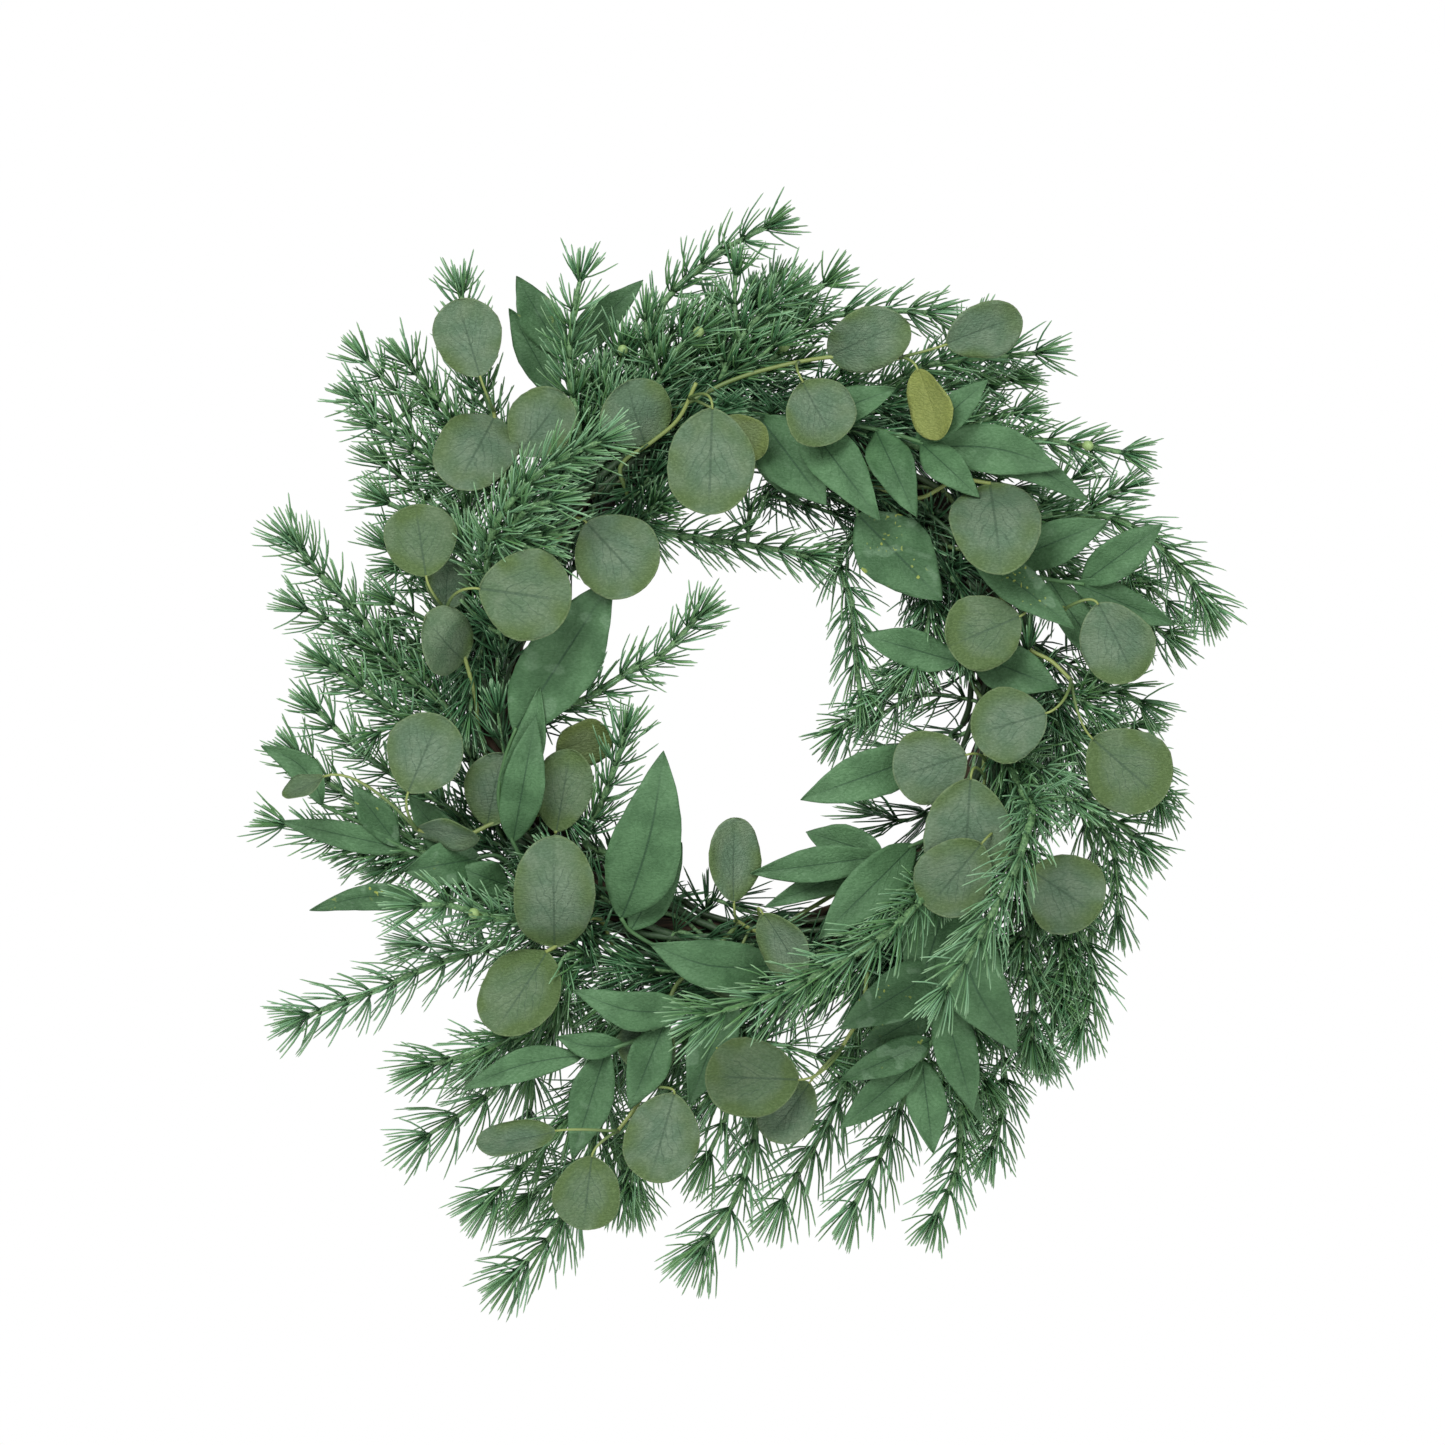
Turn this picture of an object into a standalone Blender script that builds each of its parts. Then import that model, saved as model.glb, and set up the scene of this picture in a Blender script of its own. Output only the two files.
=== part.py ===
"""Leaf wreath: a ring of twisted vine with pine, round-leaf and lance-leaf picks bound to it.

The wreath hangs in the XZ plane and faces -Y. The origin is the hook seat, the inner side of
the ring's top, where a door hook carries it. Places in the tables are millimetres from the
ring's centre: x to the right, z up, and depth towards the viewer.
"""
import math
import random
from collections import namedtuple

import bpy
import bmesh
import numpy as np
from mathutils import Matrix, Vector
from mathutils.bvhtree import BVHTree
from mathutils.geometry import interpolate_bezier

MM = 0.001
TAU = math.tau

# The vine ring
RING_RADIUS = 141 * MM
STRAND_COUNT = 4
STRAND_TURNS = 4
STRAND_RADIUS = 5.6 * MM
STRAND_OFFSET = 9.0 * MM
STATIONS = 40
STRAND_SIDES = 5
BUNDLE_RADIUS = STRAND_OFFSET + STRAND_RADIUS
HOOK_HEIGHT = RING_RADIUS - BUNDLE_RADIUS
BINDING_COUNT = 4
BINDING_WIRE = 0.6 * MM
GAP = 0.3 * MM

# Stems and leaf stalks
TUBE_SIDES = 3
STEM_RADIUS = 1.4 * MM
FORK_RADIUS = 1.15 * MM
FORK_TWIST = math.radians(60)
STALK_RADIUS = 1.1 * MM
ROOT_SEAT = STRAND_RADIUS + STEM_RADIUS + 0.55 * MM
EXIT_RADIUS = 21 * MM
STEM_CLEAR = 0.7 * MM
STEM_STEP = 3 * MM
EXIT_INDEX = 9
BARE_START = 21 * MM
OFFSETS = (0, 3, -3, 6, -6, 9, -9, 12, 15, 18, 21, 24)
STALK_SWINGS = (0, 5, -5, 10, -10, 15, -15)

# Leaves
LEAF_THICKNESS = 0.7 * MM
LEAF_CLEAR = 1.1 * MM
LEAF_CUP = 0.10
NEAR_STEM = 8 * MM
LIFTS = [0, 2, -2, 4, -4, 6, -6, 8, -8, 10, -10, 12, -12] + list(range(14, 60, 2))

# Pine needles
NEEDLE_LENGTH = 26 * MM
TUFT_SPACING = 45 * MM
TUFT_ROW = 1.9 * MM
NEEDLE_ROWS = ((58, 0.94), (36, 1.06))
NEEDLE_CLEAR = 0.75 * MM
BARE_REACH = 27 * MM
TIP_RADIUS = 0.9 * MM
NEEDLE_SEED = 11

Leaf = namedtuple("Leaf", "base tip width level roll bow rise", defaults=(0, 0, 0))
Spray = namedtuple("Spray", "name stems leaves", defaults=((),))

# Pine picks: the main branch of each, and then those that fork off it.
PINE = [
    Spray("pine_top_left", [
        [(-128, 112, 14), (-142, 150, 14), (-155, 190, 16), (-162, 226, 20)],
        [(-152, 132, 6), (-174, 162, 6), (-193, 186, 8)],
        [(-162, 124, -2), (-196, 150, -2), (-221, 165, 2)]]),
    Spray("pine_left_upper", [
        [(-160, 108, 6), (-190, 136, 8), (-213, 151, 10)],
        [(-170, 100, -4), (-190, 116, -6), (-207, 130, -4)],
        [(-170, 84, 4), (-188, 98, 6), (-206, 108, 8)]]),
    Spray("pine_left", [
        [(-165, 50, 2), (-185, 66, 4), (-203, 83, 6)],
        [(-172, 34, 6), (-188, 44, 8), (-203, 52, 10)],
        [(-166, 14, -6), (-183, 24, -6), (-197, 35, -2)]]),
    Spray("pine_far_left", [
        [(-170, -10, 2), (-196, 12, 4), (-218, 42, 8), (-240, 66, 12), (-258, 87, 16)],
        [(-186, -6, -8), (-210, 20, -8), (-232, 37, -4), (-252, 48, 0)],
        [(-186, -18, 8), (-208, -4, 14), (-238, 17, 20)]]),
    Spray("pine_lower_left", [
        [(-168, -66, 0), (-190, -52, 2), (-209, -40, 6), (-227, -25, 10), (-244, -8, 14)],
        [(-180, -76, -10), (-208, -68, -10), (-232, -54, -6), (-255, -33, 0)],
        [(-170, -88, 4), (-200, -90, 8), (-232, -82, 14), (-263, -73, 20)],
        [(-164, -92, -4), (-184, -95, -6), (-204, -98, -4)]]),
    Spray("pine_left_front", [
        [(-122, -128, 22), (-146, -125, 38), (-170, -118, 50), (-187, -119, 56)],
        [(-124, -136, 4), (-150, -144, 6), (-180, -154, 8), (-214, -169, 10), (-251, -182, 14)]]),
    Spray("pine_bottom_left", [
        [(-94, -152, 8), (-114, -180, 12), (-140, -196, 14), (-180, -209, 20)],
        [(-104, -180, -2), (-126, -208, -6), (-150, -228, -6), (-183, -250, -2)],
        [(-100, -146, 22), (-110, -158, 28)]]),
    Spray("pine_bottom_fork", [
        [(-68, -175, 0), (-84, -215, 2), (-108, -247, 6), (-146, -284, 10)],
        [(-82, -232, -6), (-94, -268, -8), (-108, -300, -6), (-133, -327, 0)]]),
    Spray("pine_bottom", [
        [(-2, -180, 6), (4, -220, 8), (2, -252, 10), (-9, -285, 12), (-28, -313, 16)],
        [(-22, -180, -4), (-46, -215, -6), (-62, -252, -4), (-67, -280, 0)],
        [(-10, -205, 16), (-13, -235, 20), (-24, -260, 24)]]),
    Spray("pine_bottom_right", [
        [(66, -165, 0), (58, -205, 2), (46, -236, 4), (32, -260, 6), (17, -287, 10)],
        [(80, -178, -6), (89, -212, -6), (82, -240, -4), (71, -264, 0), (57, -289, 4)]]),
    Spray("pine_lower_right", [
        [(104, -160, 0), (112, -200, 2), (118, -238, 4), (115, -268, 8), (103, -295, 12)],
        [(122, -158, -6), (139, -192, -8), (143, -222, -6), (140, -242, -2), (134, -258, 2)]]),
    Spray("pine_right_hanging", [
        [(150, -102, -2), (166, -142, -2), (171, -175, 2), (167, -203, 6)],
        [(170, -112, 4), (188, -140, 8), (191, -166, 12), (184, -190, 16)],
        [(154, -145, 8), (158, -172, 12), (157, -198, 16)]]),
    Spray("pine_right", [
        [(176, -22, -2), (204, -28, -4), (226, -44, -2), (229, -62, 2)],
        [(176, -44, -8), (196, -66, -6), (211, -77, 0), (221, -88, 6)],
        [(178, -6, 4), (202, 2, 8), (221, -8, 12)]]),
    Spray("pine_right_upper", [
        [(140, 99, 0), (172, 99, 0), (204, 97, 4), (229, 81, 8), (247, 61, 12), (257, 46, 16)],
        [(160, 78, -6), (192, 54, -8), (215, 42, -6), (236, 31, 0)]]),
    Spray("pine_top_right", [
        [(112, 133, 2), (148, 141, 6), (184, 138, 10), (212, 133, 14)],
        [(112, 146, -6), (134, 153, -6), (152, 157, -2)]]),
    Spray("pine_top_outer", [
        [(70, 168, 0), (100, 183, 2), (135, 187, 6), (163, 190, 10)],
        [(84, 160, -8), (115, 172, -8), (150, 176, -4)]]),
    Spray("pine_top", [
        [(6, 182, 2), (36, 207, 4), (70, 213, 6), (103, 212, 10)],
        [(0, 190, -8), (20, 212, -8), (45, 230, -4)],
        [(-16, 176, 8), (-2, 202, 14), (22, 225, 18)]]),
    Spray("pine_top_arc", [
        [(-62, 168, -2), (-58, 196, 2), (-48, 218, 4), (-30, 236, 6), (-10, 250, 10), (12, 261, 14)],
        [(-54, 168, 10), (-42, 190, 16), (-24, 204, 20)],
        [(-46, 172, -8), (-22, 198, -10), (2, 217, -6)]]),
    Spray("pine_top_tuft", [
        [(-96, 142, 12), (-101, 178, 18), (-99, 208, 22), (-94, 234, 24)],
        [(-84, 152, 4), (-74, 178, 2), (-70, 197, 4)]]),
    Spray("pine_left_face", [
        [(-146, 62, 38), (-140, 94, 70), (-117, 120, 86), (-96, 132, 94), (-80, 139, 98)],
        [(-136, 86, 66), (-123, 101, 78), (-107, 106, 84)]]),
    Spray("pine_inner_left", [
        [(-112, -12, 20), (-92, -4, 28), (-66, 12, 36), (-49, 21, 42), (-27, 44, 50)]]),
    Spray("pine_inner_low", [
        [(-92, -84, 18), (-83, -62, 24), (-74, -38, 30), (-69, -20, 34)]]),
    Spray("pine_inner_top", [
        [(-72, 94, 8), (-48, 89, 10), (-15, 84, 12), (12, 80, 14), (36, 75, 18)],
        [(-60, 94, 18), (-50, 103, 24), (-40, 110, 28)]]),
    Spray("pine_inner_right", [
        [(66, 95, 0), (50, 76, 4), (57, 48, 8), (59, 20, 12), (62, -4, 16)],
        [(98, 62, 10), (99, 34, 20), (92, 12, 26)],
        [(96, 56, 2), (92, 26, 2), (80, 2, 6), (62, -11, 12), (48, -24, 16)]]),
    Spray("pine_front_right", [
        [(150, -54, 46), (156, -66, 74), (152, -80, 90), (146, -98, 98), (134, -120, 104),
             (121, -144, 108), (106, -166, 112)]]),
    Spray("pine_front_bottom", [
        [(104, -104, 40), (94, -116, 72), (78, -131, 88), (55, -146, 96), (25, -162, 100),
             (0, -171, 104), (-26, -179, 108)]]),
]

# Round-leaf picks. A leaf gives its base, its tip, its width across and its depth.
ROUND = [
    Spray("eucalyptus_top_left", [
        [(-133, 84, 22), (-136, 112, 27), (-140, 138, 31), (-143, 158, 35)]],
        [Leaf((-150, 175), (-163, 218), 38, 48), Leaf((-138, 154), (-164, 113), 46, 62, 15),
         Leaf((-129, 132), (-104, 166), 40, 54, -20)]),
    Spray("eucalyptus_left", [
        [(-151, -22, 24), (-153, -4, 30), (-160, 22, 34), (-169, 46, 38)]],
        [Leaf((-180, 64), (-186, 104), 41, 52), Leaf((-166, 46), (-167, 73), 28, 42, 30),
         Leaf((-150, 57), (-99, 50), 51, 78), Leaf((-153, 19), (-180, 42), 37, 60, 25)]),
    Spray("eucalyptus_inner_left", [
        [(-116, 66, 24), (-109, 82, 30), (-102, 92, 34)]],
        [Leaf((-91, 94), (-58, 58), 48, 62)]),
    Spray("eucalyptus_top", [
        [(-72, 126, 26), (-55, 139, 30), (-40, 152, 34), (-30, 172, 38)]],
        [Leaf((-62, 144), (-68, 173), 42, 46, 15), Leaf((-21, 157), (-23, 98), 49, 72),
         Leaf((-14, 152), (7, 131), 26, 50, 20)]),
    Spray("eucalyptus_top_right", [
        [(-42, 158, 16), (-12, 173, 20), (18, 182, 24), (50, 187, 26), (84, 186, 30)]],
        [Leaf((29, 172), (48, 139), 42, 60, -15), Leaf((44, 186), (88, 205), 37, 50, 20),
         Leaf((109, 193), (151, 208), 34, 46, 25), Leaf((93, 179), (105, 140), 30, 50, 40)]),
    Spray("eucalyptus_right_upper", [
        [(92, 108, 28), (115, 118, 32), (134, 116, 36)]],
        [Leaf((135, 112), (139, 65), 50, 78)]),
    Spray("eucalyptus_right", [
        [(130, 78, 26), (150, 62, 30), (166, 50, 34), (176, 46, 38)]],
        [Leaf((150, 42), (110, 25), 43, 44), Leaf((193, 49), (213, 6), 43, 50, 20)]),
    Spray("eucalyptus_right_fork", [
        [(154, 26, 24), (168, 17, 30), (179, 6, 36)]],
        [Leaf((164, -12), (123, -24), 42, 62), Leaf((190, -26), (229, -60), 48, 48)]),
    Spray("eucalyptus_right_lower", [
        [(138, -18, 24), (131, -34, 30), (131, -60, 30), (138, -86, 32), (148, -96, 34)]],
        [Leaf((120, -35), (80, -48), 42, 52), Leaf((122, -48), (118, -107), 49, 68),
         Leaf((128, -84), (98, -120), 42, 57), Leaf((156, -99), (193, -124), 46, 50)]),
    Spray("eucalyptus_bottom", [
        [(66, -150, 26), (62, -178, 30), (51, -198, 36)]],
        [Leaf((27, -215), (-25, -213), 45, 64), Leaf((33, -217), (9, -248), 34, 48, 20)]),
    Spray("eucalyptus_bottom_left", [
        [(-42, -165, 24), (-50, -195, 28), (-60, -225, 32), (-74, -245, 36)]],
        [Leaf((-42, -223), (-56, -272), 42, 50), Leaf((-88, -258), (-93, -299), 38, 46),
         Leaf((-108, -244), (-152, -251), 26, 44, 45), Leaf((-52, -183), (-67, -209), 34, 34)]),
    Spray("eucalyptus_lower_left", [
        [(-86, -126, 26), (-100, -137, 30), (-114, -145, 34)]],
        [Leaf((-112, -136), (-109, -80), 46, 62), Leaf((-116, -149), (-143, -189), 44, 48, 15)]),
    Spray("eucalyptus_left_fork", [
        [(-140, -72, 26), (-165, -82, 28), (-187, -76, 34)]],
        [Leaf((-190, -56), (-172, -13), 43, 54), Leaf((-237, -47), (-260, -57), 18, 50, 50),
         Leaf((-186, -78), (-151, -82), 24, 44, 50), Leaf((-150, -68), (-138, -34), 34, 36),
         Leaf((-108, -78), (-100, -32), 32, 32), Leaf((-108, -34), (-78, -24), 30, 26, 30)]),
    Spray("eucalyptus_inner_bottom", [
        [(8, -134, 28), (-9, -127, 32)]],
        [Leaf((-9, -117), (-8, -70), 31, 42, 20), Leaf((7, -123), (28, -158), 30, 66, 30),
         Leaf((-7, -146), (-18, -169), 26, 36)]),
]

# Lance-leaf picks. The leaf's base is on the stem nearest to the point given.
LANCE = [
    Spray("lance_top_left", [
        [(-104, 130, 0), (-108, 160, -4), (-105, 190, -6)]],
        [Leaf((-105, 190), (-131, 233), 23, 0), Leaf((-107, 165), (-135, 215), 20, -4),
         Leaf((-104, 188), (-60, 231), 20, -2)]),
    Spray("lance_left", [
        [(-120, -100, 26), (-133, -82, 32), (-140, -60, 36), (-136, -36, 40), (-130, -20, 44)]],
        [Leaf((-132, -84), (-119, -14), 24, 58), Leaf((-141, -56), (-117, 3), 18, 50, 0, 6),
         Leaf((-131, -22), (-76, 63), 42, 56)]),
    Spray("lance_inner_left", [
        [(-66, -134, 26), (-72, -126, 32)]],
        [Leaf((-72, -126), (-48, -33), 40, 62, 0, 4), Leaf((-67, -133), (-38, -84), 24, 34)]),
    Spray("lance_bottom", [
        [(14, -152, 28), (-12, -168, 32), (-40, -179, 36), (-64, -194, 36), (-94, -203, 34)]],
        [Leaf((14, -152), (-56, -140), 29, 58, 0, -6), Leaf((-33, -176), (-98, -166), 22, 52, 0, -6),
         Leaf((-48, -184), (-67, -232), 24, 46), Leaf((-80, -199), (-99, -260), 24, 42),
         Leaf((-93, -203), (-160, -221), 18, 42, 0, 4), Leaf((-70, -196), (-108, -192), 15, 44, 0, -3),
         Leaf((-10, -167), (-34, -230), 26, 42)]),
    Spray("lance_inner_right", [
        [(110, -74, 26), (94, -84, 32), (72, -92, 34)]],
        [Leaf((92, -85), (38, -137), 28, 58), Leaf((72, -92), (0, -101), 20, 46),
         Leaf((74, -91), (31, -78), 22, 32), Leaf((80, -89), (8, -120), 17, 36)]),
    Spray("lance_right_lower", [
        [(113, -100, 26), (117, -126, 30), (107, -154, 34)]],
        [Leaf((116, -116), (148, -200), 38, 50, 0, 8), Leaf((114, -104), (90, -178), 36, 44),
         Leaf((107, -154), (50, -187), 28, 54)]),
    Spray("lance_bottom_right", [
        [(102, -142, 22), (107, -166, 26), (103, -190, 28), (95, -206, 30)]],
        [Leaf((107, -170), (124, -233), 25, 44), Leaf((104, -186), (129, -240), 14, 36),
         Leaf((101, -194), (50, -216), 19, 46), Leaf((96, -204), (50, -243), 20, 40),
         Leaf((95, -206), (102, -257), 22, 36), Leaf((106, -174), (61, -199), 22, 34)]),
    Spray("lance_far_left", [
        [(-140, -92, 16), (-165, -96, 18), (-192, -88, 20), (-216, -74, 20), (-239, -63, 20)],
        [(-130, -106, 14), (-152, -114, 16), (-180, -119, 18)]],
        [Leaf((-239, -63), (-273, -30), 16, 22, 0, 7), Leaf((-192, -88), (-262, -72), 16, 26),
         Leaf((-196, -86), (-222, -52), 18, 28), Leaf((-150, -94), (-193, -100), 25, 38),
         Leaf((-160, -95), (-190, -58), 20, 34), Leaf((-180, -119), (-246, -122), 15, 22, 0, 6),
         Leaf((-136, -108), (-162, -98), 20, 30)]),
    Spray("lance_top", [
        [(0, 152, 26), (34, 152, 30), (66, 147, 32), (92, 140, 34), (118, 130, 36)],
        [(44, 132, 32), (56, 112, 32), (60, 98, 34)]],
        [Leaf((36, 152), (81, 169), 20, 44), Leaf((6, 152), (42, 104), 34, 48),
         Leaf((30, 152), (72, 95), 28, 58), Leaf((70, 146), (92, 97), 24, 60),
         Leaf((95, 139), (127, 108), 20, 56), Leaf((93, 140), (132, 173), 20, 66),
         Leaf((102, 136), (172, 124), 28, 46, 0, -5), Leaf((116, 131), (189, 106), 19, 40, 0, -8),
         Leaf((2, 152), (27, 105), 22, 34), Leaf((60, 98), (107, 51), 40, 42)]),
    Spray("lance_right_upper", [
        [(98, 100, 24), (118, 84, 30), (140, 70, 32), (165, 63, 34), (186, 60, 36)]],
        [Leaf((138, 71), (199, 95), 26, 48), Leaf((186, 60), (229, 93), 23, 50),
         Leaf((124, 84), (180, 35), 23, 54), Leaf((166, 63), (201, 12), 20, 40),
         Leaf((180, 61), (236, 37), 19, 44)]),
    Spray("lance_inner_mid", [
        [(112, -30, 26), (98, -35, 32)]],
        [Leaf((98, -35), (28, -60), 28, 48)]),
    Spray("lance_right_inner", [
        [(122, 22, 24), (115, 16, 28)]],
        [Leaf((115, 16), (62, 32), 22, 28), Leaf((121, 22), (172, 2), 28, 34)]),
]


def place(x, z, depth):
    """A table's place in millimetres, from the ring's centre, as a point of the part."""
    return Vector((x * MM, -depth * MM, z * MM - HOOK_HEIGHT))


def bundle_point(theta, radius, phi):
    """A point of the ring's bundle: theta goes round the ring, and phi round the bundle from its outer side."""
    spoke = RING_RADIUS + radius * math.cos(phi)
    return Vector((spoke * math.cos(theta), -radius * math.sin(phi), spoke * math.sin(theta) - HOOK_HEIGHT))


def strand_phase(strand, theta):
    return TAU * strand / STRAND_COUNT + STRAND_TURNS * theta


def station_angle(station):
    return TAU * station / STATIONS


def smooth(points, step, way=None):
    """Evenly spaced points on the smooth curve through the given points, which may set out in a given way."""
    fine = [points[0]]
    last = len(points) - 1
    for i in range(last):
        start, end = points[i], points[i + 1]
        reach = (end - start).length / 3
        leave = way if way and i == 0 else (points[i + 1] - points[max(i - 1, 0)]).normalized()
        arrive = (points[min(i + 2, last)] - points[i]).normalized()
        fine += interpolate_bezier(start, start + leave * reach, end - arrive * reach, end, 24)[1:]
    return respaced(fine, step)


def respaced(fine, step):
    """The same line with points a step apart."""
    lengths = [0.0]
    for a, b in zip(fine, fine[1:]):
        lengths.append(lengths[-1] + (b - a).length)
    count = max(1, round(lengths[-1] / step))
    marks = np.linspace(0, lengths[-1], count + 1)
    rows = [np.interp(marks, lengths, [p[axis] for p in fine]) for axis in range(3)]
    return [Vector(p) for p in zip(*rows)]


def blade_frame(line, roll):
    """Along, across and facing directions of a leaf, which faces the front and is rolled on its axis."""
    along = (line[-1] - line[0]).normalized()
    across = along.cross(Vector((0, -1, 0))).normalized()
    across = Matrix.Rotation(math.radians(roll), 3, along) @ across
    return along, across, across.cross(along)


def blade_width(share, pointed):
    """The outline: the leaf's half width at a share of its length, as a share of its full width."""
    if pointed:
        return 0.5 * math.sin(math.pi * share ** 0.86) ** 0.92
    return math.sqrt(max(share * (1 - share), 0))


def blade_points(line, width, roll, pointed, rows, columns):
    """Rows of points across a leaf, from base to tip. A round leaf is cupped and a lance leaf is folded."""
    fine = smooth(line, 1.5 * MM)
    _, across, facing = blade_frame(line, roll)
    points = []
    for row in range(rows + 1):
        share = (1 - math.cos(math.pi * row / rows)) / 2
        middle = fine[round(share * (len(fine) - 1))]
        half = blade_width(share, pointed) * width
        line_of_row = []
        for column in range(columns + 1):
            side = 2 * column / columns - 1
            cup = LEAF_CUP * width * (1 - abs(side) if pointed else (1 - side * side))
            depth = cup * 2 * half / width
            line_of_row.append(middle + across * side * half - facing * depth * (1 if pointed else 0.7))
        points.append(line_of_row)
    return points


def blade_mesh(name, points):
    """An open blade: quads split into triangles, with each row that has no width closed to a point."""
    rows, columns = len(points) - 1, len(points[0]) - 1
    bm = bmesh.new()
    bmesh.ops.create_grid(bm, x_segments=columns, y_segments=rows, size=1)
    bm.verts.ensure_lookup_table()
    for vertex, point in zip(bm.verts, [p for row in points for p in row]):
        vertex.co = point
    bmesh.ops.remove_doubles(bm, verts=bm.verts, dist=0.02 * MM)
    bmesh.ops.triangulate(bm, faces=bm.faces)
    mesh = bpy.data.meshes.new(name)
    bm.to_mesh(mesh)
    bm.free()
    return mesh


class Space:
    """What is already in place: tubes as capsules, and leaf blades. It tells how much room is left."""

    def __init__(self):
        self.starts, self.ends = np.zeros((0, 3)), np.zeros((0, 3))
        self.radii, self.owners, self.branches = np.zeros(0), np.zeros(0, int), np.zeros(0, int)
        self.blades = []

    def add_tube(self, owner, points, radius, branch=-1):
        line = np.array(points)
        count = len(line) - 1
        self.starts = np.vstack([self.starts, line[:-1]])
        self.ends = np.vstack([self.ends, line[1:]])
        self.radii = np.append(self.radii, np.full(count, radius))
        self.owners = np.append(self.owners, np.full(count, owner))
        self.branches = np.append(self.branches, np.full(count, branch))

    def add_blade(self, owner, mesh):
        tree, spots = blade_surface(mesh)
        cloud = np.array(spots)
        self.blades.append((owner, tree, cloud.min(0), cloud.max(0), spots))

    def capsule_room(self, chosen, line, radii):
        """The smallest distance from a tube's surface to the chosen tubes that are near it."""
        near = chosen & (np.maximum(self.starts, self.ends) > line.min(0) - 0.012).all(1)
        near &= (np.minimum(self.starts, self.ends) < line.max(0) + 0.012).all(1)
        if not near.any():
            return 1.0
        a, b, r = self.starts[near], self.ends[near], self.radii[near]
        span = b - a
        offset = line[:, None, :] - a[None]
        share = np.clip((offset * span).sum(2) / np.maximum((span * span).sum(1), 1e-12), 0, 1)
        gap = np.linalg.norm(offset - share[..., None] * span, axis=2) - r[None]
        return float((gap.min(1) - radii).min())

    def own_room(self, owner, branch, points, radii):
        """The room that a needle has to the needles and the other branches of its own pick."""
        line, widths = np.array(points), np.array(radii)
        needles = (self.owners == owner) & (self.branches < 0)
        stems = (self.owners == owner) & (self.branches >= 0) & (self.branches != branch)
        return min(self.capsule_room(needles, line[1:], widths[1:]), self.capsule_room(stems, line, widths))

    def tube_room(self, owner, points, radii):
        """The smallest distance from the surface of a tube through the points to anything of other owners."""
        line = np.array(points)
        radii = np.broadcast_to(radii, len(line))
        low, high = line.min(0) - 0.012, line.max(0) + 0.012
        room = self.capsule_room(self.owners != owner, line, radii)
        for other, tree, lowest, highest, _ in self.blades:
            if other != owner and (lowest < high).all() and (highest > low).all():
                for point, radius in zip(points, radii):
                    distance = tree.find_nearest(point)[3]
                    room = min(room, distance - radius - LEAF_THICKNESS / 2)
        return room

    def blade_room(self, owner, mesh):
        """The smallest distance from a blade's middle surface to anything of other owners."""
        tree, spots = blade_surface(mesh)
        cloud = np.array(spots)
        low, high = cloud.min(0) - 0.003, cloud.max(0) + 0.003
        near = (self.owners != owner) & (np.maximum(self.starts, self.ends) > low - 0.007).all(1)
        near &= (np.minimum(self.starts, self.ends) < high + 0.007).all(1)
        room = 1.0
        for a, b, r in zip(self.starts[near], self.ends[near], self.radii[near]):
            count = max(2, int(np.linalg.norm(b - a) / 0.0015))
            for share in np.linspace(0, 1, count):
                room = min(room, tree.find_nearest(Vector(a + (b - a) * share))[3] - r)
            if room < 0:
                return room
        for other, other_tree, lowest, highest, other_spots in self.blades:
            if other == owner or not ((lowest < high).all() and (highest > low).all()):
                continue
            if tree.overlap(other_tree):
                return -1.0
            for point in spots:
                room = min(room, other_tree.find_nearest(point)[3] - LEAF_THICKNESS / 2)
            for point in other_spots:
                room = min(room, tree.find_nearest(point)[3] - LEAF_THICKNESS / 2)
            if room < 0:
                return room
        return room


def blade_surface(mesh):
    """A blade's middle surface as a search tree, with points spread over each of its triangles."""
    corners = [vertex.co.copy() for vertex in mesh.vertices]
    faces = [tuple(face.vertices) for face in mesh.polygons]
    spots = list(corners)
    for face in faces:
        a, b, c = (corners[i] for i in face)
        steps = max(2, round(max((a - b).length, (b - c).length, (c - a).length) / (5 * MM)))
        for i in range(steps + 1):
            for k in range(steps + 1 - i):
                spots.append(a + (b - a) * (i / steps) + (c - a) * (k / steps))
    return BVHTree.FromPolygons(corners, faces), spots


space = Space()
taken = set()
owner_numbers = {}
fork_parents = {}


def owner_of(name):
    return owner_numbers.setdefault(name, len(owner_numbers))


def bundle_place(point):
    """Where a point is: its angle round the ring, its distance from the bundle's middle and its phase."""
    spoke = math.hypot(point.x, point.z + HOOK_HEIGHT) - RING_RADIUS
    return math.atan2(point.z + HOOK_HEIGHT, point.x), math.hypot(spoke, point.y), math.atan2(-point.y, spoke)


def turn_between(start, end):
    return (end - start + math.pi) % TAU - math.pi


def root_choices(first):
    """The free stations and grooves for a pick's root, best first, given the point that it must reach."""
    theta, _, phi = bundle_place(first)
    wish = math.ceil(theta / TAU * STATIONS + 0.3)
    choices = []
    for shift in range(5):
        for groove in range(STRAND_COUNT):
            turn = turn_between(strand_phase(groove + 0.5, station_angle(wish + shift)), phi)
            choices.append((abs(math.degrees(turn)) + 14 * shift, wish + shift, groove))
    return [(station, groove) for _, station, groove in sorted(choices)
            if not {(groove, (station + step) % STATIONS) for step in (1, 2)} & taken]


def root_points(station, groove):
    """A root lies one station long in its groove, and then climbs out, clockwise seen from the front."""
    half_gap = STRAND_OFFSET * math.sin(math.pi / STRAND_COUNT)
    middle = STRAND_OFFSET * math.cos(math.pi / STRAND_COUNT)
    depth = middle + math.sqrt(ROOT_SEAT ** 2 - half_gap ** 2)
    places = []
    for step, radius in ((2, depth), (1, depth), (0, EXIT_RADIUS)):
        theta = station_angle(station + step)
        places.append(bundle_point(theta, radius, strand_phase(groove + 0.5, theta)))
    return places


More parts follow.
